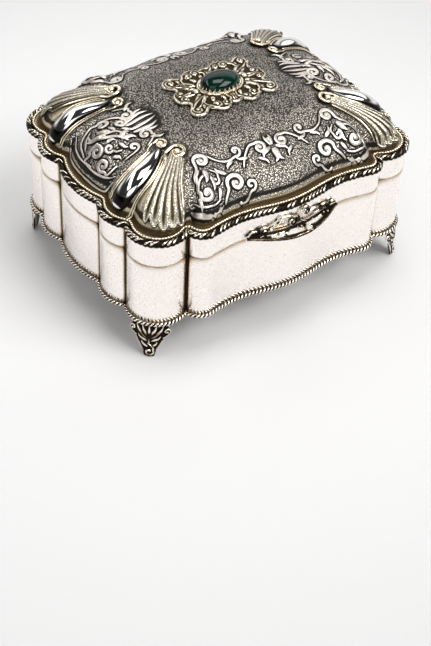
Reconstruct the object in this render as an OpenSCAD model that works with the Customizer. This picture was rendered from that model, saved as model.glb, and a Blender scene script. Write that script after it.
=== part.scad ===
// Footed trinket box with a lobed plan, a hinged domed lid and a stone set in a cast ornament.
// Millimetres. +Z is up, -Y is the front with the thumb piece, and the feet stand on Z = 0.

/* [Plan] */
// Half the distance between the two creases of a long side
front_crease_x = 48; // [46:0.5:50]
// Distance of those creases from the middle plane
front_crease_y = 50.4; // [49:0.2:51.4]
// Distance of the outer creases of a short side from the middle plane
side_crease_x = 67; // [66:0.2:68]
// Half the distance between the outer creases of a short side
side_crease_y = 34.6; // [33:0.2:36]
// Distance of the inner creases of a short side from the middle plane
mid_crease_x = 68.6; // [68:0.2:69.4]
// Half the distance between the inner creases of a short side
mid_crease_y = 16.2; // [14:0.2:18]
// How far a corner lobe swells past the line between its creases
corner_bulge = 10.2; // [9:0.2:11]
// How far each side lobe swells past the line between its creases
side_bulge = 3.7; // [3:0.1:4.5]
// Mean distance of a long wall from the middle plane
front_mean_y = 56.7; // [56:0.1:57.4]
// Height of the waves of a long wall
front_wave = 1.6; // [1:0.1:2]
// Length of one wave of a long wall
front_wave_len = 51.4; // [50:0.2:53]
// Where a long wall starts to turn into its crease
front_turn_x = 41; // [40:0.5:42]

/* [Heights] */
// Height of the feet up to the wall
foot_h = 18; // [16:0.5:20]
// Height of the wall of the box, from the feet to the seam
body_h = 30.6; // [28:0.2:34]
// Height of the straight wall of the lid
collar_h = 10.5; // [9:0.5:12]
// Height of the rim moulding
rim_h = 2.6; // [2:0.1:3]
// Rise of the dome above its own edge
dome_rise = 19.2; // [16:0.2:22]

/* [Metal] */
// Thickness of the wall sheet
wall_t = 1; // [0.8:0.1:1.2]
// Thickness of the bottom and of the dome sheet
sheet_t = 0.9; // [0.7:0.1:1]
// Gap between the box and the lid at the seam
seam_gap = 0.15; // [0.1:0.05:0.3]
// How far the rim moulding stands out past the wall
rim_out = 1.2; // [0.8:0.1:1.6]
// How far the base moulding stands out past the wall
base_out = 1.5; // [1:0.1:1.8]

/* [Hinge] */
// Length of the row of knuckles
hinge_len = 36; // [30:1:40]
// Outer radius of a knuckle
knuckle_r = 1.5; // [1.4:0.05:1.6]
// Radius of the hinge pin
pin_r = 0.8; // [0.7:0.05:0.9]
// Radial clearance of the pin in its bores
pin_clear = 0.04; // [0.02:0.01:0.08]
// Height of each leaf of the hinge
leaf_h = 4; // [3:0.5:5]

/* [Stone] */
// Length of the stone
stone_len = 18; // [16:1:20]
// Width of the stone
stone_wid = 13; // [12:1:14]
// Height of the domed part of the stone
stone_rise = 4.4; // [3.6:0.2:5]

/* [Hidden] */

silver = "Gainsboro";
dark_silver = "DarkGray";
gilt = "BurlyWood";
velvet = "DarkSlateGray";

seam_z = foot_h + body_h;
rim_z = seam_z + collar_h;
front_top_y = front_mean_y + front_wave;

// Hinge axis, on the seam just outside the widest part of the back wall
hinge_y = front_top_y + 0.9;
knuckles = 5;
knuckle_pitch = hinge_len / knuckles;
knuckle_gap = 0.15;
groove_r = knuckle_r + 0.15;
pin_head_r = 1.15;
pin_head_t = 0.7;

// Lip that the lid closes over
lip_t = 0.8;
lip_rise = 2.4;
lip_drop = 5;
lip_clear = 0.35;

// Lining of the inside
lining_t = 1.2;
pad_t = 2.5;
fit_gap = 0.05;

// Mouldings
rim_in = 1.5;
base_rise = 0.8;
bead_t = 0.8;

// Dome: its flange is flat from scale 1 to flange_s, a cove runs up to the edge at scale edge_s,
// and the sheet is flat under the ornament, inside the last of the steps
flange_z = rim_z + rim_h - 0.5;
flange_s = 0.975;
cove_s = 0.962;
cove_rise = 0.6;
edge_s = 0.95;
edge_z = rim_z + 5.3;
dome_steps = [1, 0.97, 0.91, 0.82, 0.7, 0.54, 0.34];
seat_step = len(dome_steps) - 1;
pillow_x = 64;
pillow_y = 51;

// Points from the middle of a long wall to the end of its waves, and to the end of the thumb piece
front_points = 12;
thumb_points = 7;

// Centre of the circle that a corner lobe follows, under which a foot stands
lobe_centre = [56, 40.6];
foot_steps = 10;
foot_reach = 16;

// Thumb piece
thumb_half = thumb_points * front_turn_x / front_points;
thumb_out = 6.2;
thumb_top = 9;
thumb_drop = 1.6;
thumb_flange = 1.2;

// Ornament under the stone
ornament_x = 20.8;
ornament_y = 14.5;
ornament_t = 2;
bezel_wall = 0.4;
bezel_h = 1.8;
girdle_h = 0.8;

// The origin is the centre of the box's bounding rectangle, so everything moves by this much
shift_y = (thumb_out - (hinge_y + knuckle_r - front_top_y)) / 2;

// ---- plan outline ----

// Arc from p to q, without q, that swells to the right of the way from p to q
function arc(p, q, bulge, n) =
    let (chord = norm(q - p),
        radius = (chord * chord / 4 + bulge * bulge) / (2 * bulge),
        out = [q.y - p.y, p.x - q.x] / chord,
        centre = (p + q) / 2 + out * (bulge - radius),
        start = atan2(p.y - centre.y, p.x - centre.x),
        sweep = 4 * atan(2 * bulge / chord))
    [for (i = [0 : n - 1]) centre + radius * [cos(start + sweep * i / n), sin(start + sweep * i / n)]];

// Distance of the wavy long wall from the middle plane
function front_y(x) = front_mean_y + front_wave * cos(360 * x / front_wave_len);

// Rounded end of a long wall, from its crease (angle 90) to where the waves start (angle 0)
function front_end(side, angle) =
    [side * (front_turn_x + (front_crease_x - front_turn_x) * sin(angle)),
        -(front_crease_y + (front_y(front_turn_x) - front_crease_y) * cos(angle))];

function long_side() = concat(
    [for (a = [90 : -18 : 18]) front_end(-1, a)],
    [for (i = [-front_points : front_points]) let (x = i * front_turn_x / front_points) [x, -front_y(x)]],
    [for (a = [18 : 18 : 72]) front_end(1, a)]);

function half_outline() = concat(
    long_side(),
    arc([front_crease_x, -front_crease_y], [side_crease_x, -side_crease_y], corner_bulge, 14),
    arc([side_crease_x, -side_crease_y], [mid_crease_x, -mid_crease_y], side_bulge, 7),
    arc([mid_crease_x, -mid_crease_y], [mid_crease_x, mid_crease_y], side_bulge, 10),
    arc([mid_crease_x, mid_crease_y], [side_crease_x, side_crease_y], side_bulge, 7),
    arc([side_crease_x, side_crease_y], [front_crease_x, front_crease_y], corner_bulge, 14));

outline = concat(half_outline(), -half_outline());

// Point i of loop p moved inwards by d, with the mitre at a crease kept short
function inset_point(p, i, d) =
    let (n = len(p), a = p[(i + n - 1) % n], b = p[i], c = p[(i + 1) % n],
        u = (b - a) / norm(b - a), v = (c - b) / norm(c - b),
        m = [-(u.y + v.y), u.x + v.x], w = m / norm(m),
        stretch = 1 / max(0.7, w * [-u.y, u.x]))
    b + w * d * stretch;

function inset(d) = [for (i = [0 : len(outline) - 1]) inset_point(outline, i, d)];

dome_outline = inset(rim_in);

// Height of the flat seat of the ornament on the dome
seat_z = dome_z(dome_steps[seat_step]);

// ---- shared solids ----

// Upright ring between two loops
module ring(outer, inner, z, h) {
    translate([0, 0, z]) linear_extrude(h) difference() {
        polygon(outer);
        polygon(inner);
    }
}

// Closed solid through rings of points, with a flat cap on its first and last ring
module loft(rings) {
    n = len(rings[0]);
    last = len(rings) - 1;
    points = [for (r = rings) each r];
    sides = [for (k = [0 : last - 1], i = [0 : n - 1]) let (j = (i + 1) % n)
        each [[k * n + i, (k + 1) * n + i, (k + 1) * n + j], [k * n + i, (k + 1) * n + j, k * n + j]]];
    polyhedron(points, concat(sides,
        [[for (i = [0 : n - 1]) i]],
        [[for (i = [n - 1 : -1 : 0]) last * n + i]]));
}

// Cylinder along the hinge axis from x0 to x1
module hinge_rod(r, x0, x1) {
    translate([x0, hinge_y, seam_z]) rotate([0, 90, 0]) cylinder(r = r, h = x1 - x0, $fn = 48);
}

module knuckle_groove() {
    hinge_rod(groove_r, -hinge_len / 2 - knuckle_gap, hinge_len / 2 + knuckle_gap);
}

// One leaf of the hinge: a bearer soldered to the wall, with its knuckles.
// first is 0 for the box and 1 for the lid.
module hinge_leaf(first) {
    z0 = first == 0 ? seam_z - leaf_h : seam_z + seam_gap / 2;
    difference() {
        union() {
            difference() {
                translate([-hinge_len / 2, front_top_y - 5, z0])
                    cube([hinge_len, hinge_y - front_top_y + 5, leaf_h - seam_gap / 2]);
                translate([0, 0, z0 - 1]) linear_extrude(leaf_h + 2) polygon(outline);
                for (k = [0 : knuckles - 1]) if (k % 2 != first)
                    knuckle_span(k, groove_r, knuckle_gap);
            }
            for (k = [first : 2 : knuckles - 1]) knuckle_span(k, knuckle_r, -knuckle_gap / 2);
        }
        hinge_rod(pin_r + pin_clear, -hinge_len, hinge_len);
    }
}

// The stretch of knuckle k, made longer by grow at both ends
module knuckle_span(k, r, grow) {
    x0 = -hinge_len / 2 + k * knuckle_pitch;
    hinge_rod(r, x0 - grow, x0 + knuckle_pitch + grow);
}

// ---- box ----

module body_wall() {
    color(silver) difference() {
        ring(outline, inset(wall_t), foot_h, body_h - seam_gap / 2);
        knuckle_groove();
    }
}

module bottom_plate() {
    color(silver) translate([0, 0, foot_h - sheet_t]) linear_extrude(sheet_t) polygon(outline);
}

module base_moulding() {
    color(dark_silver) translate([0, 0, foot_h - sheet_t]) linear_extrude(sheet_t + base_rise)
        difference() {
            offset(r = base_out, $fn = 16) polygon(outline);
            polygon(outline);
        }
}

// Inner radius, outer radius and half width of a foot, from its top down to its sole
function foot_inner(t) = 10.8 + 0.8 * cos(360 * t) - 0.4 * t;
function foot_outer(t) = 12.4 + 1.9 * sin(150 * t) * (1 - t) + 1.7 * pow(t, 3);
function foot_half_width(t) = 2.2 + 6.6 * pow(cos(90 * t), 1.5);

// Cast foot: a leaf that hangs under the corner lobe and curves out to a toe
module foot(side_x, side_y) {
    top = foot_h - sheet_t;
    down = [for (i = [0 : foot_steps]) i / foot_steps];
    up = [for (i = [foot_steps : -1 : 0]) i / foot_steps];
    color(dark_silver)
    translate([side_x * lobe_centre.x, side_y * lobe_centre.y, 0])
    rotate([0, 0, atan2(side_y, side_x)])
    intersection() {
        rotate_extrude($fn = 96) polygon(concat(
            [for (t = down) [foot_inner(t), top * (1 - t)]],
            [for (t = up) [foot_outer(t), top * (1 - t)]]));
        rotate([90, 0, 90]) linear_extrude(2 * foot_reach) polygon(concat(
            [for (t = down) [-foot_half_width(t), top * (1 - t)]],
            [for (t = up) [foot_half_width(t), top * (1 - t)]]));
    }
}

// Strip inside the wall that stands up into the lid
module inner_lip() {
    inner_loop = inset(wall_t + lip_clear + lip_t);
    color(gilt) {
        ring(inset(wall_t), inner_loop, seam_z - lip_drop, lip_drop - seam_gap);
        ring(inset(wall_t + lip_clear), inner_loop, seam_z - seam_gap, lip_rise + seam_gap);
    }
}

module wall_lining() {
    color(velvet) ring(inset(wall_t + fit_gap), inset(wall_t + lining_t),
        foot_h + pad_t + fit_gap, body_h - lip_drop - pad_t - 2 * fit_gap);
}

module floor_pad() {
    color(velvet) translate([0, 0, foot_h]) linear_extrude(pad_t) polygon(inset(wall_t + fit_gap));
}

module hinge_pin() {
    reach = hinge_len / 2 + knuckle_gap;
    color(silver) {
        hinge_rod(pin_r, -reach - pin_head_t, reach + pin_head_t);
        for (x = [-reach - pin_head_t, reach]) hinge_rod(pin_head_r, x, x + pin_head_t);
    }
}

// ---- lid ----

module lid_collar() {
    color(silver) difference() {
        ring(outline, inset(wall_t), seam_z + seam_gap / 2, collar_h - seam_gap / 2);
        knuckle_groove();
    }
}

module rim_moulding() {
    color(dark_silver) translate([0, 0, rim_z]) linear_extrude(rim_h) difference() {
        offset(r = rim_out, $fn = 16) polygon(outline);
        polygon(dome_outline);
    }
}

// Height of the dome at a share t of the way from its centre to its edge
function dome_z(t) = edge_z + dome_rise * pow(1 - pow(t, 2.2), 0.55);

// Point of the pillow that the dome turns into towards its top, on the ray through p
function pillow(p) =
    let (a = atan2(p.y, p.x), u = abs(cos(a)) / pillow_x, v = abs(sin(a)) / pillow_y)
    [cos(a), sin(a)] * pow(pow(u, 4) + pow(v, 4), -0.25);

// Ring of the dome at scale s, with the lobes of the plan fading out towards the top
function dome_ring(s, z) = let (w = pow(s, 2.5))
    [for (p = dome_outline) let (q = s * (w * p + (1 - w) * pillow(p))) [q.x, q.y, z]];

module lid_dome() {
    sheet_s = 0.012;
    outer_rings = concat(
        [dome_ring(1, flange_z), dome_ring(flange_s, flange_z), dome_ring(cove_s, flange_z + cove_rise)],
        [for (t = dome_steps) dome_ring(t * edge_s, dome_z(t))]);
    inner_rings = concat(
        [for (i = [seat_step : -1 : 0]) let (t = dome_steps[i])
            dome_ring(t * (edge_s - sheet_s), dome_z(t) - sheet_t)],
        [dome_ring(flange_s - sheet_s, flange_z - sheet_t), dome_ring(1, flange_z - sheet_t)]);
    color(dark_silver) loft(concat(inner_rings, outer_rings));
}

module bead_wire() {
    color(gilt) ring([for (p = dome_outline) p * 0.995], [for (p = dome_outline) p * 0.979], flange_z, bead_t);
}

// Section of the thumb piece at x: a flange on the collar, a cove and a lip that stands out
function thumb_section(x) =
    let (fade = 0.1 + 0.9 * sqrt(1 - pow(x / thumb_half, 2)), wall = -front_y(x),
        out = thumb_out * fade, top = seam_z + 1 + (thumb_top - 1) * fade, lip = seam_z - thumb_drop * fade)
    [[x, wall, top], [x, wall - thumb_flange, top], [x, wall - 0.3 * out - 0.5, seam_z + 0.6 + 2 * fade],
        [x, wall - out, lip + 1.2], [x, wall - out, lip], [x, wall - 0.75 * out, lip],
        [x, wall, seam_z + 0.4]];

module thumb_piece() {
    step = thumb_half / thumb_points;
    color(dark_silver) loft([for (i = [-thumb_points : thumb_points]) thumb_section(i * step)]);
}

// Rounded rectangle with wavy sides, the plan of the cast ornament
function ornament_outline() = [for (a = [0 : 7.5 : 352.5])
    let (c = abs(cos(a)), s = abs(sin(a)), r = pow(pow(c, 4) + pow(s, 4), -0.25) * (0.95 + 0.05 * cos(8 * a)))
    [ornament_x * r * cos(a), ornament_y * r * sin(a)]];

module ornament() {
    color(gilt) translate([0, 0, seat_z]) linear_extrude(ornament_t) polygon(ornament_outline());
}

module stone_oval(grow, h) {
    linear_extrude(h) scale([stone_len / 2 + grow, stone_wid / 2 + grow]) circle(r = 1, $fn = 48);
}

module bezel() {
    color(gilt) translate([0, 0, seat_z + ornament_t]) difference() {
        stone_oval(fit_gap + bezel_wall, bezel_h);
        translate([0, 0, -1]) stone_oval(fit_gap, bezel_h + 2);
    }
}

module cabochon() {
    color("DarkGreen") translate([0, 0, seat_z + ornament_t]) {
        stone_oval(0, girdle_h);
        translate([0, 0, girdle_h]) intersection() {
            scale([stone_len / 2, stone_wid / 2, stone_rise]) sphere(r = 1, $fn = 48);
            translate([-stone_len, -stone_wid, 0]) cube([2 * stone_len, 2 * stone_wid, 2 * stone_rise]);
        }
    }
}

translate([0, shift_y, 0]) {
    body_wall();
    bottom_plate();
    base_moulding();
    foot(-1, -1);  // foot_front_left
    foot(1, -1);  // foot_front_right
    foot(-1, 1);  // foot_back_left
    foot(1, 1);  // foot_back_right
    inner_lip();
    wall_lining();
    floor_pad();
    hinge_leaf(0);  // hinge_body_leaf
    hinge_pin();
    lid_collar();
    lid_dome();
    rim_moulding();
    bead_wire();
    hinge_leaf(1);  // hinge_lid_leaf
    thumb_piece();
    ornament();
    bezel();
    cabochon();
}
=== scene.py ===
import math

import bpy
import numpy as np
from mathutils import Matrix, Vector
from mathutils.bvhtree import BVHTree
from mathutils.kdtree import KDTree


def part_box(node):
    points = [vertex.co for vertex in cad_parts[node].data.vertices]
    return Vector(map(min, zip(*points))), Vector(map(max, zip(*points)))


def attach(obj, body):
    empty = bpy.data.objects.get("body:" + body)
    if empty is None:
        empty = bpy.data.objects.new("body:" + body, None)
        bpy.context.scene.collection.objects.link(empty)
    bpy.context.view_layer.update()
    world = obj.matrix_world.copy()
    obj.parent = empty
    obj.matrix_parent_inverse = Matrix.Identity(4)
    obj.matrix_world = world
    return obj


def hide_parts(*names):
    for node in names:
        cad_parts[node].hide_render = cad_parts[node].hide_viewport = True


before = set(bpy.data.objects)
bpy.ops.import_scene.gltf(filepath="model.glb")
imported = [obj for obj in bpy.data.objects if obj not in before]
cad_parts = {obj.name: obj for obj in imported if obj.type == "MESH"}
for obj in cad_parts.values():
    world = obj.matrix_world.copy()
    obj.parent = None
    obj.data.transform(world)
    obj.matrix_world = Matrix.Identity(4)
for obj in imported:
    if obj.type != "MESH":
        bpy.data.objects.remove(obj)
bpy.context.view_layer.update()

# Everything is built in millimetres about the middle of the box's plan, with Z up from the floor,
# and goes to metres in the row's frame when its mesh is made.
MM = 0.001
RNG = np.random.default_rng(7)


PLAN_Y = sum(corner[1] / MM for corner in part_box("body_wall")) / 2


def cad_box(node):
    """A CAD node's two corners in millimetres about the middle of the plan."""
    return [np.array(corner) / MM - [0, PLAN_Y, 0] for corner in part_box(node)]


wall_low, wall_high = cad_box("body_wall")
collar_low, collar_high = cad_box("lid_collar")
rim_low, rim_high = cad_box("rim_moulding")
base_low, base_high = cad_box("base_moulding")
bead_low = cad_box("bead_wire")[0]
lip_low, lip_high = cad_box("inner_lip")
pad_low, pad_high = cad_box("floor_pad")
lining_low, lining_high = cad_box("wall_lining")
thumb_low, thumb_high = cad_box("thumb_piece")
stone_low, stone_high = cad_box("cabochon")

# ---------------------------------------------------------------- plan outline, as in the CAD

CREASE_F = (48, 50.4)
CREASE_S = (67, 34.6)
CREASE_M = (68.6, 16.2)
CORNER_BULGE = 10.2
SIDE_BULGE = 3.7
FRONT_MEAN = 56.7
FRONT_WAVE = 1.6
FRONT_WAVE_LEN = 51.4
FRONT_TURN = 41
WALL_T = 1.0
RIM_IN = 1.5
CREASE_ROUNDING = 0.45
LOBE_CENTRE = (56, 40.6)


def arc(p, q, bulge, count):
    """Points of the arc from p to q, without q, that swells to the right of the way."""
    p, q = np.array(p, float), np.array(q, float)
    chord = np.linalg.norm(q - p)
    radius = (chord * chord / 4 + bulge * bulge) / (2 * bulge)
    out = np.array([q[1] - p[1], p[0] - q[0]]) / chord
    centre = (p + q) / 2 + out * (bulge - radius)
    start = math.atan2(p[1] - centre[1], p[0] - centre[0])
    angle = start + 4 * math.atan(2 * bulge / chord) * np.arange(count) / count
    return centre + radius * np.column_stack([np.cos(angle), np.sin(angle)])


def front_y(x):
    return FRONT_MEAN + FRONT_WAVE * np.cos(2 * np.pi * np.asarray(x, float) / FRONT_WAVE_LEN)


def front_end(side, angle):
    x = FRONT_TURN + (CREASE_F[0] - FRONT_TURN) * np.sin(angle)
    y = CREASE_F[1] + (front_y(FRONT_TURN) - CREASE_F[1]) * np.cos(angle)
    return np.column_stack([side * x, -y])


def half_outline(fine=60):
    turn = np.linspace(np.pi / 2, 0, fine, endpoint=False)
    x = np.linspace(-FRONT_TURN, FRONT_TURN, 8 * fine)
    f, s, m = (np.array(c) for c in (CREASE_F, CREASE_S, CREASE_M))
    down, up = np.array([1, -1]), np.array([1, 1])
    return np.vstack([
        front_end(-1, turn),
        np.column_stack([x, -front_y(x)]),
        front_end(1, turn[::-1][:-1]),
        arc(f * down, s * down, CORNER_BULGE, 4 * fine),
        arc(s * down, m * down, SIDE_BULGE, 2 * fine),
        arc(m * down, m * up, SIDE_BULGE, 3 * fine),
        arc(m * up, s * up, SIDE_BULGE, 2 * fine),
        arc(s * up, f * up, CORNER_BULGE, 4 * fine)])


def resample(points, count, rounding=0.0):
    """The closed loop again, with evenly spaced points and its corners rounded."""
    loop = np.vstack([points, points[:1]])
    along = np.concatenate([[0], np.cumsum(np.linalg.norm(np.diff(loop, axis=0), axis=1))])
    at = np.arange(count) * along[-1] / count
    even = np.interp(at, along, loop[:, 0]) + 1j * np.interp(at, along, loop[:, 1])
    if rounding:
        waves = np.fft.fftfreq(count, along[-1] / count)
        even = np.fft.ifft(np.fft.fft(even) * np.exp(-2 * (np.pi * waves * rounding) ** 2))
    return np.column_stack([even.real, even.imag])


def loop_normals(points):
    """Unit normals that point out of a loop that runs anticlockwise."""
    along = np.roll(points, -1, axis=0) - np.roll(points, 1, axis=0)
    along /= np.linalg.norm(along, axis=1)[:, None]
    return np.column_stack([along[:, 1], -along[:, 0]])


def loop_length(points):
    return np.linalg.norm(np.roll(points, -1, axis=0) - points, axis=1).sum()


def concavity(points):
    """How tightly a loop turns inwards at each point, in 1/mm, and 0 where it bulges."""
    normals = loop_normals(points)
    turn = np.cross(np.roll(normals, 1, axis=0), np.roll(normals, -1, axis=0))
    step = 2 * loop_length(points) / len(points)
    return np.maximum(-turn / step, 0)


HALF = half_outline()
OUTLINE = np.vstack([HALF, -HALF])


KNOT_SLACK = 0.03
KNOT_ROUNDING = 0.2


def offset_loop(distance, step, rounding=CREASE_ROUNDING):
    """The outline moved outwards by distance, without the knots that form in its creases."""
    count = 4 * int(loop_length(OUTLINE) / step / 4)
    points = resample(OUTLINE, count, rounding)
    moved = points + distance * loop_normals(points)
    gaps = np.linalg.norm(moved[:, None, :] - points[None, ::2, :], axis=2).min(axis=1)
    kept = moved[gaps >= abs(distance) - KNOT_SLACK]
    return resample(kept, 4 * int(loop_length(kept) / step / 4), KNOT_ROUNDING)


# ---------------------------------------------------------------- meshes

def new_mesh(name, verts, faces):
    """A mesh from vertices in millimetres about the middle of the plan."""
    verts = (np.asarray(verts, float) + [0, PLAN_Y, 0]) * MM
    mesh = bpy.data.meshes.new(name)
    mesh.from_pydata(verts.tolist(), [], [tuple(map(int, f)) for f in faces])
    return mesh


def add_object(name, data):
    obj = bpy.data.objects.new(name, data)
    bpy.context.scene.collection.objects.link(obj)
    return obj


def make(name, verts, faces, body, material, replaces=(), wear_and_shading=None, smooth=True):
    """A piece of the object from vertices in millimetres, with its wear layer for the material, which on
    some pieces also holds painted shade and painted highlights.
    """
    mesh = new_mesh(name, verts, faces)
    mesh.validate()
    obj = add_object(name, mesh)
    finish_piece(obj, body, material, replaces, wear_and_shading, smooth)
    return obj


def add_layer(mesh, name, values):
    layer = mesh.attributes.new(name, "FLOAT", "POINT")
    layer.data.foreach_set("value", np.clip(np.asarray(values, float), 0, 1))


def finish_piece(obj, body, material, replaces=(), wear_and_shading=None, smooth=True):
    mesh = obj.data
    mesh.materials.clear()
    mesh.materials.append(material)
    mesh.polygons.foreach_set("use_smooth", [smooth] * len(mesh.polygons))
    if wear_and_shading is not None:
        add_layer(mesh, "wear_and_shading", wear_and_shading)
    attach(obj, body)
    if replaces:
        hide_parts(*replaces)


def grid_faces(rows, columns, wrap_rows=False, wrap_columns=False):
    """Quads of a grid of vertices, row by row."""
    r = np.arange(rows if wrap_rows else rows - 1)[:, None]
    c = np.arange(columns if wrap_columns else columns - 1)[None, :]
    r2, c2 = (r + 1) % rows, (c + 1) % columns
    quads = np.stack([r * columns + c, r2 * columns + c, r2 * columns + c2, r * columns + c2], axis=-1)
    return quads.reshape(-1, 4)


def rod_faces(count, sides):
    """Faces of a rod of rings of vertices, closed over each end."""
    first = list(range(sides))
    last = [(count - 1) * sides + i for i in first]
    return grid_faces(count, sides, False, True).tolist() + [first, last[::-1]]


def flipped(faces):
    return [face[::-1] for face in faces]


def ring_verts(loop, out, height):
    """Vertices of a band round a loop: out and height are (points, section) arrays."""
    normals = loop_normals(loop)
    out, height = np.broadcast_arrays(out, height)
    out = np.broadcast_to(out, (len(loop), out.shape[-1]))
    height = np.broadcast_to(height, out.shape)
    flat = loop[:, None, :] + normals[:, None, :] * out[:, :, None]
    return np.concatenate([flat, height[:, :, None]], axis=2).reshape(-1, 3)


def merge(parts):
    """Several (verts, faces, wear) parts as one."""
    verts, faces, wear_and_shading, base = [], [], [], 0
    for v, f, w in parts:
        verts.append(v)
        faces.extend((np.asarray(q) + base).tolist() for q in f)
        wear_and_shading.append(np.broadcast_to(w, len(v)))
        base += len(v)
    return np.vstack(verts), faces, np.concatenate(wear_and_shading)


# ---------------------------------------------------------------- materials

class Nodes:
    """Short ways to add and link the nodes of a material or of the world."""

    def __init__(self, owner):
        owner.use_nodes = True
        self.tree = owner.node_tree

    def add(self, kind, inputs=None, **settings):
        node = self.tree.nodes.new(kind)
        for key, value in settings.items():
            setattr(node, key, value)
        for key, value in (inputs or {}).items():
            self.set(node.inputs[key], value)
        return node

    def set(self, socket, value):
        if isinstance(value, bpy.types.NodeSocket):
            self.tree.links.new(value, socket)
        else:
            socket.default_value = value

    def where(self):
        return self.add("ShaderNodeTexCoord").outputs["Object"]

    def noise(self, size_mm, detail, distortion=0.0):
        inputs = {"Vector": self.where(), "Scale": 1 / (size_mm * MM), "Detail": detail,
                  "Roughness": 0.55, "Distortion": distortion}
        return self.add("ShaderNodeTexNoise", inputs).outputs["Fac"]

    def cells(self, size_mm):
        inputs = {"Vector": self.where(), "Scale": 1 / (size_mm * MM)}
        return self.add("ShaderNodeTexVoronoi", inputs).outputs["Distance"]

    def attribute(self, name):
        return self.add("ShaderNodeAttribute", attribute_name=name).outputs["Fac"]

    def math(self, operation, a, b, clamp=False):
        return self.add("ShaderNodeMath", {0: a, 1: b}, operation=operation, use_clamp=clamp).outputs[0]

    def span(self, value, low, high, to_low=0.0, to_high=1.0):
        inputs = {"Value": value, "From Min": low, "From Max": high, "To Min": to_low, "To Max": to_high}
        return self.add("ShaderNodeMapRange", inputs, interpolation_type="SMOOTHSTEP").outputs["Result"]

    def blend(self, share, a, b):
        node = self.add("ShaderNodeMix", data_type="RGBA")
        for socket, value in zip((node.inputs[0], node.inputs[6], node.inputs[7]), (share, a, b)):
            self.set(socket, value)
        return node.outputs[2]

    def bump(self, height, depth_mm, under=None):
        inputs = {"Height": height, "Distance": depth_mm * MM, "Strength": 1.0}
        if under is not None:
            inputs["Normal"] = under
        return self.add("ShaderNodeBump", inputs).outputs["Normal"]

    def length(self, vector):
        return self.add("ShaderNodeVectorMath", {0: vector}, operation="LENGTH").outputs["Value"]

    def dot(self, a, b):
        return self.add("ShaderNodeVectorMath", {0: a, 1: b}, operation="DOT_PRODUCT").outputs["Value"]


class Shader(Nodes):
    """A material around one Principled shader."""

    def __init__(self, name, **constants):
        self.material = bpy.data.materials.new(name)
        super().__init__(self.material)
        self.shader = self.tree.nodes["Principled BSDF"]
        for key, value in constants.items():
            self.shader.inputs[key.replace("_", " ")].default_value = value

    def drive(self, name, value):
        self.set(self.shader.inputs[name], value)


def rgb(r, g, b):
    return (r, g, b, 1.0)


CLOUD_SIZE = 6.0
PUNCH_EDGE = (0.15, 0.62)
PIT_SPAN = (0.1, 0.8)
WARM_END = 0.5
BRIGHT_START = 0.35
GRAIN_ROUGH = 0.05


def silver(name, bright, dark, rough=(0.2, 0.5), wear_span=(0.15, 0.75), patch=0.35,
           stipple=0.0, stipple_size=0.7, pit_dark=0.75, speckle=0.02, speckle_size=0.25,
           even_wear=None, gilding=None, warm=None):
    """Silver whose recesses hold dark tarnish. The wear layer is 0 in a recess and 1 on a polished edge; on
    the gadroons, the shells and the dome it also holds painted shade and painted highlights.

    warm is the tone of half-polished metal. gilding is a gilt's dark and bright tones, which show
    where the piece has gild."""
    s = Shader(name, Metallic=1.0)
    cloud = s.noise(CLOUD_SIZE, 5.0)
    uneven = s.math("MULTIPLY", s.math("SUBTRACT", cloud, 0.5), patch)
    wear_and_shading = s.attribute("wear_and_shading") if even_wear is None else even_wear
    worn_and_shaded = s.span(s.math("ADD", uneven, wear_and_shading), *wear_span)
    grain = s.noise(speckle_size, 3.0)
    normal = s.bump(grain, speckle)
    if stipple:
        punched = s.span(s.cells(stipple_size), *PUNCH_EDGE, 1.0, 0.0)
        normal = s.bump(punched, stipple, normal)
        worn_and_shaded = s.math("MULTIPLY", worn_and_shaded, s.span(punched, *PIT_SPAN, 1 - pit_dark, 1.0))
    # Dark to bright by the wear layer: tarnish and polish, and on some pieces painted shade and painted
    # highlights.
    colour = s.blend(worn_and_shaded, dark, bright)
    if warm:
        well_rubbed = s.span(worn_and_shaded, BRIGHT_START, 1.0)
        half_rubbed = s.span(worn_and_shaded, 0.0, WARM_END)
        colour = s.blend(well_rubbed, s.blend(half_rubbed, dark, warm), bright)
    if gilding:
        golden = s.blend(s.span(wear_and_shading, 0.1, 0.9), *gilding)
        colour = s.blend(s.attribute("gild"), colour, golden)
    s.drive("Base Color", colour)
    rubbed_and_sheen = s.span(worn_and_shaded, 0.0, 1.0, rough[1], rough[0])
    uneven_rough = s.span(grain, 0.3, 0.7, -GRAIN_ROUGH, GRAIN_ROUGH)
    s.drive("Roughness", s.math("ADD", rubbed_and_sheen, uneven_rough, clamp=True))
    s.drive("Normal", normal)
    return s.material


PILE_SIZE = 0.35
PILE_DEPTH = 0.15
BRUSHED_SIZE = 9.0
BRUSHED_DEPTH = 0.3


def velvet_material():
    s = Shader("velvet", Roughness=0.85, Sheen_Weight=0.9, Sheen_Roughness=0.35, Specular_IOR_Level=0.2)
    s.shader.inputs["Sheen Tint"].default_value = rgb(0.35, 0.45, 0.75)
    pile = s.noise(PILE_SIZE, 2.0)
    brushed = s.noise(BRUSHED_SIZE, 3.0, 0.6)
    shade = s.math("ADD", s.span(pile, 0.3, 0.7, 0.0, 0.5), s.span(brushed, 0.35, 0.65, 0.0, 0.5))
    s.drive("Base Color", s.blend(shade, rgb(0.006, 0.014, 0.05), rgb(0.02, 0.045, 0.13)))
    s.drive("Normal", s.bump(pile, PILE_DEPTH, s.bump(brushed, BRUSHED_DEPTH)))
    return s.material


VEIN_SIZE = 5.0


def stone_material():
    s = Shader("green_stone", Roughness=0.03, IOR=1.5, Specular_IOR_Level=0.28)
    veins = s.span(s.noise(VEIN_SIZE, 6.0, 1.2), 0.4, 0.75)
    s.drive("Base Color", s.blend(veins, rgb(0.0006, 0.010, 0.007), rgb(0.002, 0.026, 0.017)))
    return s.material


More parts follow.
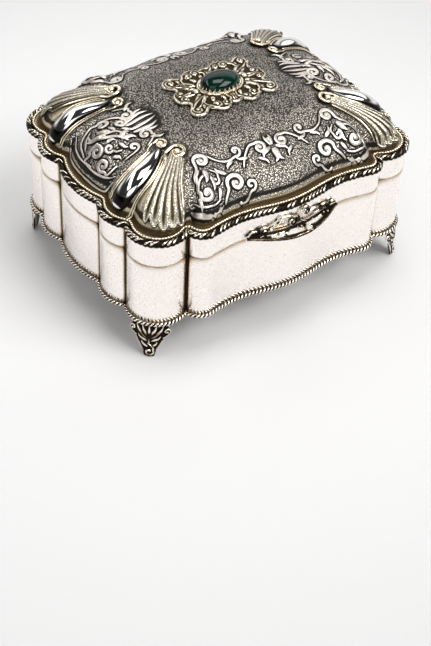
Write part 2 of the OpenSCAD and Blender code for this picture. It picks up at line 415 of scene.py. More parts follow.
# Painted pool of light on the floor: where it starts to fade and where it has faded, in metres from the
# floor's middle.
FLOOR_NEAR = 0.10
FLOOR_FAR = 0.34


def floor_material():
    """Matt paper with a painted pool of light: paler under the object than out to FLOOR_FAR metres and
    beyond.
    """
    s = Shader("paper_floor", Roughness=0.8, Specular_IOR_Level=0.2)
    away = s.span(s.length(s.where()), FLOOR_NEAR, FLOOR_FAR)
    s.drive("Base Color", s.blend(away, rgb(0.625, 0.625, 0.63), rgb(0.50, 0.50, 0.505)))
    return s.material


SATIN = silver("satin_silver", rgb(0.975, 0.92, 0.88), rgb(0.035, 0.025, 0.015),
               rough=(0.25, 0.45), wear_span=(0.15, 0.85), patch=0.18, speckle=0.006,
               speckle_size=0.5, warm=rgb(0.58, 0.43, 0.27))
EMBOSSED = silver("embossed_silver", rgb(0.86, 0.80, 0.71), rgb(0.03, 0.028, 0.024),
                  rough=(0.25, 0.5), wear_span=(0.05, 0.72), stipple=0.16, stipple_size=0.62,
                  pit_dark=0.95, gilding=(rgb(0.07, 0.045, 0.02), rgb(0.86, 0.74, 0.53)))
CHASED = silver("chased_silver", rgb(0.80, 0.74, 0.67), rgb(0.02, 0.018, 0.016), rough=(0.3, 0.5),
                wear_span=(0.25, 0.8), patch=0.5)
CAST = silver("cast_silver", rgb(0.93, 0.87, 0.77), rgb(0.014, 0.011, 0.008), rough=(0.16, 0.45),
              wear_span=(0.42, 0.74), patch=0.25, warm=rgb(0.30, 0.22, 0.12))
# A darker copy of the cast silver for the feet and the thumb piece, bright only on the proudest points:
# tarnish in the recesses, and painted shade and painted dark reflection over the rest.
DARK_CAST = silver("foot_silver", rgb(0.90, 0.84, 0.75), rgb(0.012, 0.010, 0.008), rough=(0.16, 0.42),
                   wear_span=(0.62, 0.97), patch=0.4, warm=rgb(0.36, 0.26, 0.13))
GILT = silver("gilt_silver", rgb(0.92, 0.81, 0.60), rgb(0.07, 0.045, 0.02), rough=(0.16, 0.45),
              wear_span=(0.25, 0.8))
GILT_CAST = silver("gilt_cast", rgb(0.70, 0.64, 0.53), rgb(0.04, 0.028, 0.014), rough=(0.17, 0.45),
                   wear_span=(0.46, 0.92), patch=0.3, warm=rgb(0.32, 0.25, 0.15))
# Its bright tone shows the shells' painted highlights on ridges and tips.
SHELL = silver("shell_silver", rgb(0.98, 0.92, 0.78), rgb(0.05, 0.033, 0.016), rough=(0.2, 0.45),
               wear_span=(0.12, 0.7), stipple=0.08, stipple_size=0.55, pit_dark=0.6)
# Used on the gadroons only: its dark tone is their painted dark reflection along the sides and towards the
# end.
POLISHED = silver("polished_silver", rgb(0.95, 0.94, 0.92), rgb(0.012, 0.011, 0.010), rough=(0.05, 0.25),
                  wear_span=(0.30, 0.60), patch=0.08, speckle=0.002)
PLAIN = silver("plain_silver", rgb(0.78, 0.73, 0.68), rgb(0.16, 0.12, 0.08), rough=(0.3, 0.5),
               wear_span=(0.2, 0.9), patch=0.7, even_wear=0.65)
VELVET = velvet_material()
STONE = stone_material()

# ---------------------------------------------------------------- walls

WALL_STEP = 0.4
WALL_LOOP = offset_loop(0, WALL_STEP)
CREASE_DARK_REACH = 0.6
CREASE_DARK = 0.75
CREASE_WARM_REACH = 2.4
CREASE_WARM = 0.38


def crease_wear(loop):
    """Wear along a wall: low in its creases, where the cloth never reaches."""
    tight = blurred(concavity(loop), loop, CREASE_DARK_REACH)
    wide = blurred(concavity(loop), loop, CREASE_WARM_REACH)
    return (1 - CREASE_DARK * np.clip(tight / tight.max() * 1.2, 0, 1)
            - CREASE_WARM * np.clip(wide / wide.max(), 0, 1))


def blurred(values, loop, spread):
    """Values along a loop, blurred over a distance."""
    count = len(values)
    waves = np.fft.fftfreq(count, loop_length(loop) / count)
    return np.fft.ifft(np.fft.fft(values) * np.exp(-2 * (np.pi * waves * spread) ** 2)).real


WALL_EASE = 0.12
WALL_EDGE_REACH = 0.7
WALL_EDGE_WEAR = 0.35


def wall(name, low, high, body, node):
    """A straight wall of sheet silver, with its edges eased."""
    levels = np.linspace(low + WALL_EASE, high - WALL_EASE, 9)
    inner = np.linspace(high, low, 7)[1:-1]
    out = np.concatenate([[-WALL_T, -WALL_EASE], np.zeros(len(levels)), [-WALL_EASE, -WALL_T],
                          np.full(len(inner), -WALL_T)])
    height = np.concatenate([[low, low], levels, [high, high], inner])
    verts = ring_verts(WALL_LOOP, out[None, :], height[None, :])
    edge = np.clip(np.minimum(verts[:, 2] - low, high - verts[:, 2]) / WALL_EDGE_REACH, 0, 1)
    wear_and_shading = np.repeat(crease_wear(WALL_LOOP), len(out))
    wear_and_shading = wear_and_shading * (WALL_EDGE_WEAR + (1 - WALL_EDGE_WEAR) * edge ** 0.7)
    faces = grid_faces(len(WALL_LOOP), len(out), True, True)
    return make(name, verts, faces, body, SATIN, [node], wear_and_shading)


wall("box_wall", wall_low[2], wall_high[2], "box", "body_wall")
wall("lid_wall", collar_low[2], collar_high[2], "lid", "lid_collar")

# ---------------------------------------------------------------- mouldings

ROPE_R = 0.85
ROPE_PITCH = 1.75
ROPE_STRANDS = 2


def rope(name):
    """Two wires twisted round each other, soldered to the foot of the wall."""
    loop = offset_loop(base_high[0] - wall_high[0] - ROPE_R, 0.22, 0.6)
    sides = 14
    turns = ROPE_STRANDS * round(loop_length(loop) / (ROPE_STRANDS * ROPE_PITCH))
    angle = 2 * np.pi * np.arange(sides)[None, :] / sides
    twist = 2 * np.pi * np.arange(len(loop))[:, None] / len(loop) * turns / ROPE_STRANDS
    lobes = np.abs(np.cos(ROPE_STRANDS * (angle - twist) / 2))
    radius = ROPE_R * (0.62 + 0.38 * lobes)
    middle = (base_low[2] + base_high[2]) / 2
    verts = ring_verts(loop, radius * np.cos(angle), middle + radius * np.sin(angle))
    wear_and_shading = (0.1 + 0.8 * lobes ** 1.5).reshape(-1)
    faces = grid_faces(len(loop), sides, True, True)
    make(name, verts, faces, "box", CAST, ["base_moulding"], wear_and_shading)


BORDER_PITCH = 2.15
BORDER_SLANT = 0.9


def rim(name):
    """Cast border: a half-round band of slanted gadroons, uneven but for each fourth, which is full."""
    loop = offset_loop(0, 0.2, 0.55)
    count = 4 * round(loop_length(loop) / BORDER_PITCH / 4)
    section = 22
    around = np.linspace(-0.12, 1.06, section)[None, :] * np.pi
    along = np.arange(len(loop))[:, None] / len(loop) * count
    phase = along + BORDER_SLANT * np.cos(around)
    which = np.floor(phase).astype(int) % count
    full = np.where(which % 4 == 3, 1.0, 0.0)
    uneven = RNG.uniform(0.55, 1.0, count)[which]
    bead = np.abs(np.sin(np.pi * phase)) ** (0.6 + 0.3 * full)
    raised = bead * np.maximum(uneven, full)
    half_w = (rim_high[0] - wall_high[0] + RIM_IN) / 2 - 0.02
    middle = (rim_high[0] - wall_high[0] - RIM_IN) / 2
    tall = rim_high[2] - rim_low[2]
    swell = 0.70 + 0.30 * raised
    out = middle + half_w * np.cos(around) * swell
    height = rim_low[2] + 0.75 + (tall - 0.8) * np.sin(around) * (0.66 + 0.34 * raised)
    height = np.maximum(height, rim_low[2] + 0.02)
    verts = ring_verts(loop, out, height)
    wear_and_shading = (raised ** 1.6 * np.clip(0.3 + np.sin(around), 0, 1)).reshape(-1)
    faces = grid_faces(len(loop), section, True, True)
    make(name, verts, faces, "lid", CAST, ["rim_moulding"], wear_and_shading)


BEAD_PITCH = 1.25


def bead_line(name):
    """Fine bead wire that runs inside the border."""
    loop = offset_loop(-RIM_IN - 0.75, 0.2, 0.8)
    count = round(loop_length(loop) / BEAD_PITCH)
    sides = 8
    angle = 2 * np.pi * np.arange(sides)[None, :] / sides
    swell = np.abs(np.sin(np.pi * np.arange(len(loop)) / len(loop) * count))[:, None] ** 0.6
    radius = 0.26 + 0.26 * swell
    verts = ring_verts(loop, 1.25 * radius * np.cos(angle), bead_low[2] + 0.28 + radius * np.sin(angle))
    wear_and_shading = np.broadcast_to(0.15 + 0.85 * swell, (len(loop), sides)).reshape(-1)
    faces = grid_faces(len(loop), sides, True, True)
    make(name, verts, faces, "lid", GILT, ["bead_wire"], wear_and_shading)


rope("base_rope")
rim("gadroon_rim")
bead_line("bead_line")

# ---------------------------------------------------------------- dome

FLANGE_Z = bead_low[2]
EDGE_S = 0.95
EDGE_Z = rim_low[2] + 5.3
DOME_RISE = 19.2
PILLOW = (64, 51)
SHEET_T = 0.9

# Profile of the cove from the edge down to the flange: scale, and height over the flange.
COVE = [(EDGE_S, EDGE_Z - FLANGE_Z), (0.956, 2.0), (0.962, 0.8), (0.968, 0.25), (0.975, 0)]
LIP_S = 0.953
LIP_WIDE = 0.0032
LIP_RISE = 0.5
FURROW_S = 0.944
FURROW_WIDE = 0.0034
FURROW_DROP = 0.8


def dome_height(s):
    """Height of the dome at scale s: a flange, a cove, a lip with a furrow behind it, and the pillow."""
    t = np.minimum(s / EDGE_S, 1)
    z = EDGE_Z + DOME_RISE * (1 - t ** 2.2) ** 0.55
    z = np.where(s > EDGE_S, FLANGE_Z + np.interp(s, *zip(*COVE)), z)
    return z + LIP_RISE * ridge_at(s, LIP_S, LIP_WIDE) - FURROW_DROP * ridge_at(s, FURROW_S, FURROW_WIDE)


def ridge_at(s, place, wide):
    """1 at a place, falling off in a bell of the given width."""
    return np.exp(-((s - place) / wide) ** 2)


def dome_ring(loop, s):
    """Points of the dome at scale s, with the lobes of the plan fading out to a pillow."""
    angle = np.arctan2(loop[:, 1], loop[:, 0])
    ray = np.column_stack([np.cos(angle), np.sin(angle)])
    reach = ((np.abs(ray) / PILLOW) ** 4).sum(axis=1) ** -0.25
    w = s ** 2.5
    flat = s * (w * loop + (1 - w) * ray * reach[:, None])
    return np.column_stack([flat, np.full(len(loop), dome_height(s))])


def dome_loop(count):
    points = resample(OUTLINE, count, CREASE_ROUNDING)
    return points - RIM_IN * loop_normals(points)


def smooth_bump(distance):
    """1 at 0, falling smoothly to 0 at 1."""
    d = np.clip(distance, 0, 1)
    return (1 - d * d) ** 2


SIDE_SWELL_X = 54.5
SIDE_SWELL_HALF = (13.0, 15.0)
SIDE_SWELL_RISE = 2.6
FRONT_SWELL_AT = (37.3, 43.0)
FRONT_SWELL_WAY = (0.45, 0.893)
FRONT_SWELL_HALF = (10.5, 6.2)
FRONT_SWELL_RISE = 2.3
GULLY_AT = 46.5
GULLY_REACH = 6.0
GULLY_DEPTH = 0.7


def dome_relief(x, y):
    """How far the sheet is raised from the plain dome, the same in each quarter of the plan."""
    x, y = np.abs(x), np.abs(y)
    half_x, half_y = SIDE_SWELL_HALF
    side = SIDE_SWELL_RISE * smooth_bump(np.hypot((x - SIDE_SWELL_X) / half_x, y / half_y))
    dx, dy = x - FRONT_SWELL_AT[0], y - FRONT_SWELL_AT[1]
    c, d = FRONT_SWELL_WAY
    half_along, half_across = FRONT_SWELL_HALF
    along, across = dx * c + dy * d, dx * d - dy * c
    front = FRONT_SWELL_RISE * smooth_bump(np.hypot(along / half_along, across / half_across))
    gully = -GULLY_DEPTH * np.exp(-((np.hypot(x - GULLY_AT, y - GULLY_AT) / GULLY_REACH) ** 2))
    return side + front + gully


def dome_skin():
    """Vertices of the dome's outer face with its relief, and its faces: rings that halve near the top."""
    outer_s = np.concatenate([np.linspace(1, 0.97, 8), np.linspace(0.97, 0.93, 25)[1:],
                              np.linspace(0.93, 0.4, 47)[1:]])
    inner_s = np.concatenate([np.linspace(0.4, 0.04, 18)[1:], [0.004]])
    loop = dome_loop(960)
    rings = [dome_ring(loop, s) for s in outer_s] + [dome_ring(loop[::2], s) for s in inner_s]
    n, half, outer = len(loop), len(loop) // 2, len(outer_s)
    faces = grid_faces(outer, n, False, True).tolist()
    j = np.arange(half)
    a0 = (outer - 1) * n
    b0 = outer * n
    left, mid, right = a0 + 2 * j, a0 + 2 * j + 1, a0 + (2 * j + 2) % n
    low, low_next = b0 + j, b0 + (j + 1) % half
    for tri in ((left, low, mid), (mid, low, low_next), (mid, low_next, right)):
        faces += np.column_stack(tri).tolist()
    faces += (grid_faces(len(inner_s), half, False, True) + b0).tolist()
    last = b0 + (len(inner_s) - 1) * half
    faces.append([int(last + i) for i in range(half)])
    verts = np.vstack(rings)
    verts[:, 2] += dome_relief(verts[:, 0], verts[:, 1]) * above_cove(verts[:, 2])
    scale = np.concatenate([np.repeat(outer_s, n), np.repeat(inner_s, half)])
    return verts, flipped(faces), scale


def above_cove(z):
    """0 on the flange and in the foot of the cove, rising to 1 over two millimetres."""
    return np.clip((z - FLANGE_Z - 1.0) / 2.0, 0, 1)


SKIN_VERTS, SKIN_FACES, SKIN_SCALE = dome_skin()
DOME = BVHTree.FromPolygons(SKIN_VERTS.tolist(), SKIN_FACES)
SKY = 200


def on_dome(x, y):
    """Point and normal of the dome above a place of the plan."""
    point, normal, _, _ = DOME.ray_cast(Vector((x, y, SKY)), Vector((0, 0, -1)))
    if point is None:
        return np.array([x, y, FLANGE_Z]), np.array([0, 0, 1.0])
    normal = normal if normal.z > 0 else -normal
    return np.array(point), np.array(normal)


# ---------------------------------------------------------------- relief strokes

def curve(points, per=5):
    """Catmull-Rom curve through points."""
    p = np.asarray(points, float)
    ends = np.vstack([2 * p[0] - p[1], p, 2 * p[-1] - p[-2]])
    out = []
    for i in range(len(p) - 1):
        a, b, c, d = ends[i:i + 4]
        t = np.linspace(0, 1, per, endpoint=False)[:, None]
        out.append(0.5 * (2 * b + (c - a) * t + (2 * a - 5 * b + 4 * c - d) * t ** 2
                          + (3 * b - a - 3 * c + d) * t ** 3))
    return np.vstack(out + [p[-1:]])


def scroll(tail, centre, radius, start, turns, inner=0.2, chart=None):
    """A line that comes in along a tail and winds into a spiral, round on the chart's surface."""
    count = max(6, int(abs(turns) * 12))
    t = np.linspace(0, 1, count)
    angle = math.radians(start) + 2 * np.pi * turns * t
    reach = radius * (1 - (1 - inner) * t ** 0.85)
    spiral = np.column_stack([np.cos(angle), np.sin(angle)]) * reach[:, None]
    if chart:
        normal = chart(*centre)[1]
        down = normal[:2] / np.linalg.norm(normal[:2])
        spiral -= (1 - normal[2]) * (spiral @ down)[:, None] * down
    return np.vstack([np.reshape(tail, (-1, 2)), np.array(centre) + spiral])


def tube(points, normals, wide, tall, sides=8, wear_and_shading=None):
    """A closed strand through points, wide across and tall along the normals."""
    points, normals = np.asarray(points, float), np.asarray(normals, float)
    count = len(points)
    tangents = np.gradient(points, axis=0)
    tangents /= np.linalg.norm(tangents, axis=1)[:, None] + 1e-9
    across = np.cross(tangents, normals)
    across /= np.linalg.norm(across, axis=1)[:, None] + 1e-9
    up = np.cross(across, tangents)
    angle = 2 * np.pi * np.arange(sides) / sides
    wide, tall = np.broadcast_to(wide, count), np.broadcast_to(tall, count)
    ring = (across[:, None] * np.cos(angle)[None, :, None] * wide[:, None, None]
            + up[:, None] * np.sin(angle)[None, :, None] * tall[:, None, None])
    verts = (points[:, None] + ring).reshape(-1, 3)
    high = np.clip(0.08 + 0.95 * np.sin(angle), 0, 1)
    shade = np.tile(high, count) if wear_and_shading is None else np.full(count * sides, wear_and_shading)
    return verts, rod_faces(count, sides), shade


def taper(count, start=0.35, end=0.35, belly=0.5):
    """Thickness along a strand that is thin at its ends."""
    t = np.linspace(0, 1, count)
    rise = np.clip(t / belly, 0, 1)
    fall = np.clip((1 - t) / (1 - belly), 0, 1)
    grow = np.sin(np.pi / 2 * rise)
    shrink = np.sin(np.pi / 2 * fall)
    return (start + (1 - start) * grow) * (end + (1 - end) * shrink)


def strand(chart, points, radius, height=0.75, lift=0.0, start=0.35, end=0.45, belly=0.45, per=4, sides=8):
    """A relief strand that follows points of a chart."""
    flat = curve(points, per)
    placed = [chart(*p) for p in flat]
    centre = np.array([p for p, _ in placed])
    normal = np.array([n for _, n in placed])
    wide = radius * taper(len(flat), start, end, belly)
    return tube(centre + normal * lift, normal, wide, wide * height, sides)


# Section of a chased rib: places across in half widths and in millimetres, height in half widths,
# and wear. A furrow runs along each side of it.
RIB = np.array([(-1, -0.8, -0.5, 0.1), (-1, -0.5, 0.02, 0), (-1, -0.1, 0.02, 0), (-0.85, 0, 0.6, 0.65),
                (-0.4, 0, 0.8, 1), (0.4, 0, 0.8, 1), (0.85, 0, 0.6, 0.65), (1, 0.1, 0.02, 0),
                (1, 0.5, 0.02, 0), (1, 0.8, -0.5, 0.1)])


def rib(points, radius, height=0.55, start=0.4, end=0.5, belly=0.45, per=4):
    """A chased line on the dome, bright on top and dark along its sides."""
    flat = curve(points, per)
    placed = [on_dome(*p) for p in flat]
    centre, normal = (np.array(part) for part in zip(*placed))
    way = np.gradient(centre, axis=0)
    across = np.cross(way, normal)
    across /= np.linalg.norm(across, axis=1)[:, None] + 1e-9
    wide = radius * taper(len(flat), start, end, belly)
    verts = np.empty((len(flat), len(RIB), 3))
    for j, (share, extra, rise, _) in enumerate(RIB):
        spots = centre + across * (share * wide + extra)[:, None]
        for i, (x, y, _) in enumerate(spots):
            point, up = on_dome(x, y)
            verts[i, j] = point + up * rise * height * wide[i]
    return verts.reshape(-1, 3), rod_faces(len(flat), len(RIB)), np.tile(RIB[:, 3], len(flat))


def blade(root, tip, bend):
    """Middle line of a pointed leaf from root to tip, bent sideways."""
    root, tip = np.array(root, float), np.array(tip, float)
    way = tip - root
    side = np.array([-way[1], way[0]])
    return [root, root + 0.35 * way + 0.6 * bend * side, root + 0.7 * way + bend * side,
            tip + 0.3 * bend * side]


def leaf(chart, root, tip, width, bend, height, lift):
    """A pointed leaf with a sharp end."""
    return strand(chart, blade(root, tip, bend), width / 2, height, lift, 0.4, 0.04, 0.3, 5)


def knob(chart, at, radius, height=0.9, lift=0.0):
    """A half ball on a chart."""
    point, normal = chart(*at)
    side = np.cross(normal, [0.3, 0.9, 0.1])
    side /= np.linalg.norm(side)
    t = np.linspace(0.08, 0.92, 7) * np.pi
    centre = point + normal * lift + side * (-radius * np.cos(t))[:, None]
    return tube(centre, np.tile(normal, (7, 1)), radius * np.sin(t), radius * height * np.sin(t), 10)


# Signs of X and Y of the copies of a part: in the four quarters of the plan, or by half a turn.
QUARTERS = ((1, 1), (-1, 1), (-1, -1), (1, -1))
HALF_TURNS = ((1, 1), (-1, -1))


def copies(part, signs=QUARTERS):
    verts, faces, wear_and_shading = part
    return [(verts * [x, y, 1], flipped(faces) if x * y < 0 else faces, wear_and_shading) for x, y in signs]


def all_copies(parts, signs=QUARTERS):
    return [copy for part in parts for copy in copies(part, signs)]


# ---------------------------------------------------------------- gadroons and shells of the lid

def axis_frame(points, per=8):
    """A plan axis with its unit sideways directions and the share along it."""
    flat = curve(points, per)
    way = np.gradient(flat, axis=0)
    way /= np.linalg.norm(way, axis=1)[:, None]
    along = np.concatenate([[0], np.cumsum(np.linalg.norm(np.diff(flat, axis=0), axis=1))])
    return flat, np.column_stack([-way[:, 1], way[:, 0]]), along / along[-1]


GADROON_AXIS = [(42.3, 19.4), (49.5, 22.9), (56.0, 25.2), (61.5, 26.0), (66.9, 26.4)]
GADROON_NECK = 1.5
GADROON_HALF = 4.6
GADROON_TALL = 2.6
GADROON_SIDES = 32
GADROON_FLAT = 0.8
GADROON_ROUND_FROM = 0.86
# Share along the gadroon where its painted dark reflection begins, and the share over which it deepens.
GADROON_DARK_FROM = 0.74
GADROON_DARK_OVER = 0.18


def gadroon_half_width(u):
    """Half width at share u: a neck that swells, and a round end."""
    body = GADROON_NECK + (GADROON_HALF - GADROON_NECK) * np.sin(np.pi / 2 * np.clip(u / 0.7, 0, 1)) ** 0.9
    end = (np.clip(u - GADROON_ROUND_FROM, 0, 1) / 0.141) ** 2
    return body * np.sqrt(np.clip(1 - end, 0.003, 1))


def gadroon():
    """A polished swelling along its axis, nearly flat below."""
    flat, side, u = axis_frame(GADROON_AXIS, 24)
    height = np.array([on_dome(*p)[0][2] for p in flat])
    height = np.polyval(np.polyfit(u, height, 3), u)
    centre = np.column_stack([flat, height])
    along = np.gradient(centre, axis=0)
    normal = np.cross(along, np.column_stack([side, np.zeros(len(side))]))
    normal *= np.sign(normal[:, 2:]) / np.linalg.norm(normal, axis=1)[:, None]
    width = gadroon_half_width(u)
    verts, faces, _ = tube(centre, normal, width, GADROON_TALL * width / GADROON_HALF, GADROON_SIDES)
    rings = verts.reshape(len(flat), GADROON_SIDES, 3)
    proud = ((rings - centre[:, None]) * normal[:, None]).sum(axis=2)
    raised = np.minimum(proud, 0).reshape(-1, 1) * -GADROON_FLAT * np.repeat(normal, GADROON_SIDES, axis=0)
    # Painted reflection: dark along the sides and foot and towards the end, like a dim room mirrored there,
    # with a thin painted highlight just short of the tip.
    end_shade_and_glint = 1 - np.clip((u - GADROON_DARK_FROM) / GADROON_DARK_OVER, 0, 1) + 0.9 * ridge_at(u, 0.955, 0.018)
    wear_and_shading = np.clip(proud / GADROON_TALL, 0, 1) * end_shade_and_glint[:, None]
    return verts + raised, faces, wear_and_shading.reshape(-1)


SHELL_AXIS = [(37.2, 25.0), (43.2, 31.0), (49.3, 37.0), (54.0, 42.3), (57.2, 46.6)]
SHELL_FLUTES = 5
SHELL_T = 0.9
SHELL_ROWS = 48
SHELL_COLUMNS = 97
SHELL_TIP_FROM = 0.87
# Height of the shell's middle line over the floor, by the share of the way along it.
SHELL_PROFILE = [(0, 79.6), (0.3, 77.2), (0.55, 72.9), (0.8, 67.0), (0.93, 64.0), (1.06, 62.9)]


def shell_half_width(u):
    return 2.5 + 2.4 * u + 4.6 * np.asarray(u) ** 2.6


def shell():
    """A fan of ribbed bands that opens from a narrow neck, with curled tips that overhang the cove."""
    flat, side, u = axis_frame(SHELL_AXIS)
    v = np.linspace(-1, 1, SHELL_COLUMNS)
    phase = SHELL_FLUTES * (v + 1) / 2
    band = np.abs(np.sin(np.pi * phase))
    ridge = np.abs(np.cos(np.pi * phase)) ** 2.4
    long_tip = 0.5 + 0.5 * np.cos(np.pi * np.floor(phase))
    reach = 1 - 0.17 * v ** 2 + 0.07 * band ** 0.7 + 0.025 * long_tip * band
    top, shade = np.zeros((SHELL_ROWS, SHELL_COLUMNS, 3)), np.zeros((SHELL_ROWS, SHELL_COLUMNS))
    for i, share in enumerate(np.linspace(0, 1, SHELL_ROWS)):
        along = share * reach
        over = np.clip(along - 1, 0, 1)
        x, y, sx, sy = (np.interp(along, u, part) for part in (*flat.T, *side.T))
        half = shell_half_width(along)
        px, py = x + 20 * over + sx * v * half, y + 30 * over + sy * v * half
        floor = np.array([on_dome(a, b)[0][2] for a, b in zip(px, py)])
        profile = np.interp(along, *zip(*SHELL_PROFILE))
        z = np.maximum(floor + 0.8 - 0.35 * np.abs(v) ** 4, profile - 1.3 * v ** 2)
        rise = share ** 0.6 * (1.1 * ridge + 0.6 * band ** 2)
        tip = np.clip((share - SHELL_TIP_FROM) / (1 - SHELL_TIP_FROM), 0, 1) ** 2
        top[i] = np.column_stack([px, py, z + rise + tip * (0.3 + 1.1 * band)])
        # Painted light: ridges and curled tips painted bright as painted highlights, the ground darker
        # towards the tips as painted shade; the valleys also hold tarnish.
        shade[i] = np.clip(0.35 - 0.35 * share + ridge + 0.9 * tip * band, 0, 1)
    low = top - [0, 0, SHELL_T]
    low[0, :, 2] -= 1
    low[:, [0, -1], 2] -= 1.4
    rolled = tube(top[-1] + [0, 0, 0.15], np.tile([0, 0, 1.0], (SHELL_COLUMNS, 1)), 0.5, 0.55)
    return merge([bound_sheets(top, low, shade), rolled])


def bound_sheets(top, low, shade=0.3):
    """A solid between two grids of points."""
    rows, columns, _ = top.shape
    count = rows * columns
    verts = np.vstack([top.reshape(-1, 3), low.reshape(-1, 3)])
    quads = grid_faces(rows, columns)
    faces = quads.tolist() + (quads[:, ::-1] + count).tolist()
    border = (list(range(columns)) + [i * columns + columns - 1 for i in range(1, rows)]
              + [(rows - 1) * columns + i for i in range(columns - 2, -1, -1)]
              + [i * columns for i in range(rows - 2, 0, -1)])
    for a, b in zip(border, border[1:] + border[:1]):
        faces.append([b, a, a + count, b + count])
    shade = np.broadcast_to(shade, (rows, columns)).reshape(-1)
    return verts, faces, np.concatenate([shade, np.full(count, 0.15)])


CURL_CENTRE = (37.4, 25.4)
CURL_LINE = scroll([(43.6, 26.0), (41.6, 23.2)], CURL_CENTRE, 3.7, -55, -1.05, 0.42, on_dome)


def shell_trim():
    """The curl and ball at the root of a shell, and the ridges along its sides."""
    parts = [strand(on_dome, CURL_LINE, 0.95, 0.9, 0.55, 0.7, 0.7),
             knob(on_dome, (37.7, 25.6), 1.55, 0.95, 0.9),
             knob(on_dome, (39.4, 27.6), 0.9, 0.9, 0.9)]
    flat, side, u = axis_frame(SHELL_AXIS)
    for sign in (-1, 1):
        edge = flat + sign * side * (shell_half_width(u) + 0.55)[:, None]
        parts.append(strand(on_dome, edge[(u > 0.1) & (u < 0.86)][::3], 0.62, 1.0, 0.3, 0.8, 0.5, 0.5))
    return parts


VOLUTE_LINE = scroll([(46.8, 17.2), (43.6, 15.0)], (40.2, 17.2), 2.9, -50, -1.45, 0.2, on_dome)


def gadroon_edges():
    """Two lines down each side of a gadroon, with their thickness."""
    flat, side, u = axis_frame(GADROON_AXIS)
    inner = gadroon_half_width(np.clip(u, 0, 0.8))
    for sign in (-1, 1):
        for gap, radius in ((0.75, 0.5), (1.85, 0.42)):
            edge = flat + sign * side * (inner + gap)[:, None]
            yield edge[(u > 0.05) & (u < 0.98)][::4], radius


def gadroon_frame():
    """The lines beside a gadroon and the volute at its neck."""
    parts = [strand(on_dome, edge, radius, 1.0, 0.12, 0.7, 0.7, 0.5) for edge, radius in gadroon_edges()]
    return parts + [strand(on_dome, VOLUTE_LINE, 0.8, 0.9, 0.3)]


# ---------------------------------------------------------------- scrolls of the lid

def dome_scroll(tail, centre, radius, start, turns):
    return scroll(tail, centre, radius, start, turns, 0.2, on_dome)


QUARTER_RIBS = [
    (dome_scroll([(39.8, 44.0), (36.8, 38.4), (35.0, 35.6)], (31.4, 33.4), 3.4, 10, -1.35), 0.95),
    (dome_scroll([(28.4, 32.4), (25.8, 36.0), (21.6, 37.8)], (16.0, 35.0), 2.7, 60, 1.1), 0.62),
    (dome_scroll([(16.4, 42.4), (13.2, 38.4), (9.4, 35.2)], (5.4, 37.4), 3.0, -60, -1.4), 0.75),
    (dome_scroll([(33.4, 40.2), (37.2, 41.6), (39.8, 44.6)], (36.8, 47.0), 3.2, -35, 1.3), 0.95),
    (dome_scroll([(30.2, 50.4), (28.2, 48.6)], (22.6, 46.0), 4.4, 20, -1.25), 1.05),
    (dome_scroll([(23.5, 50.6), (20.5, 50.9)], (16.6, 48.2), 2.6, 70, 1.15), 0.7),
    (dome_scroll([(44.5, 14.2), (41.4, 12.4), (38.8, 10.4)], (41.6, 7.6), 2.9, 140, 1.3), 0.7),
    (dome_scroll([(30.8, 38.4), (28.6, 40.8)], (30.8, 43.2), 2.0, 200, -1.1), 0.6),
    ([(44.2, 46.4), (42.6, 49.8), (39.4, 51.9), (35.0, 51.6), (31.0, 50.4)], 0.62),
    ([(42.7, 45.8), (41.2, 48.8), (38.6, 50.3), (34.6, 50.1), (31.4, 49.0)], 0.42),
    ([(62.4, 17.0), (65.0, 13.2), (66.5, 8.0), (67.1, 3.0), (67.2, -0.4)], 0.62),
    ([(60.6, 15.8), (63.2, 11.8), (64.7, 7.0), (65.2, 3.0), (65.3, -0.4)], 0.45),
]
QUARTER_BLADES = [
    ((33.2, 38.2), (35.6, 43.6), 2.6, 0.12), ((35.0, 37.0), (39.0, 41.4), 1.9, -0.1),
    ((32.0, 41.4), (33.4, 46.4), 1.8, 0.15), ((30.2, 46.0), (32.6, 49.0), 1.7, 0.1),
    ((40.6, 46.6), (41.4, 50.2), 1.5, 0.1), ((24.8, 42.2), (28.2, 38.4), 1.8, 0.2),
    ((19.4, 38.4), (23.0, 41.0), 1.5, -0.2), ((0.4, 39.6), (2.6, 44.8), 2.4, 0.25),
    ((1.4, 39.0), (6.0, 42.4), 1.9, -0.2), ((0.3, 38.0), (0.9, 33.2), 1.5, 0.1),
    ((8.4, 41.0), (5.4, 44.8), 1.4, 0.2), ((12.6, 39.4), (17.2, 37.0), 1.4, 0.2),
    ((44.8, 3.6), (33.6, 3.4), 1.8, -0.12), ((45.4, 1.6), (32.6, 0.6), 1.7, -0.06),
    ((42.0, 4.8), (34.8, 6.4), 1.6, -0.12), ((40.8, 10.4), (35.6, 12.4), 1.5, -0.2),
]
SIDE_RIBS = [
    (dome_scroll([(64.8, 3.4), (65.0, -1.4)], (60.8, 1.2), 3.7, -30, -1.45), 0.95),
    (dome_scroll([(57.8, 12.6), (62.2, 12.0)], (61.6, 7.8), 3.0, 60, -1.3), 0.85),
    (dome_scroll([(53.4, 8.8), (55.4, 7.8)], (56.8, 4.6), 2.2, 110, -1.2), 0.7),
    (dome_scroll([(52.0, -13.2), (47.2, -11.2), (44.4, -8.6)], (46.0, -4.8), 3.0, -130, -1.4), 0.9),
    (dome_scroll([(64.4, -3.0), (61.6, -10.2), (55.8, -13.4)], (51.8, -9.6), 3.2, -60, -1.2), 1.0),
    (dome_scroll([(54.8, 13.0), (50.6, 13.0)], (48.6, 10.4), 2.3, 90, 1.1), 0.68),
    ([(48.6, 6.4), (51.4, 2.4), (55.4, -0.8), (59.2, -5.6), (58.6, -9.2)], 0.8),
    ([(47.2, 3.4), (50.6, -0.8), (54.0, -2.6), (56.2, -6.6)], 0.6),
    ([(62.8, -4.6), (60.2, -8.4), (56.4, -11.2)], 0.55),
]
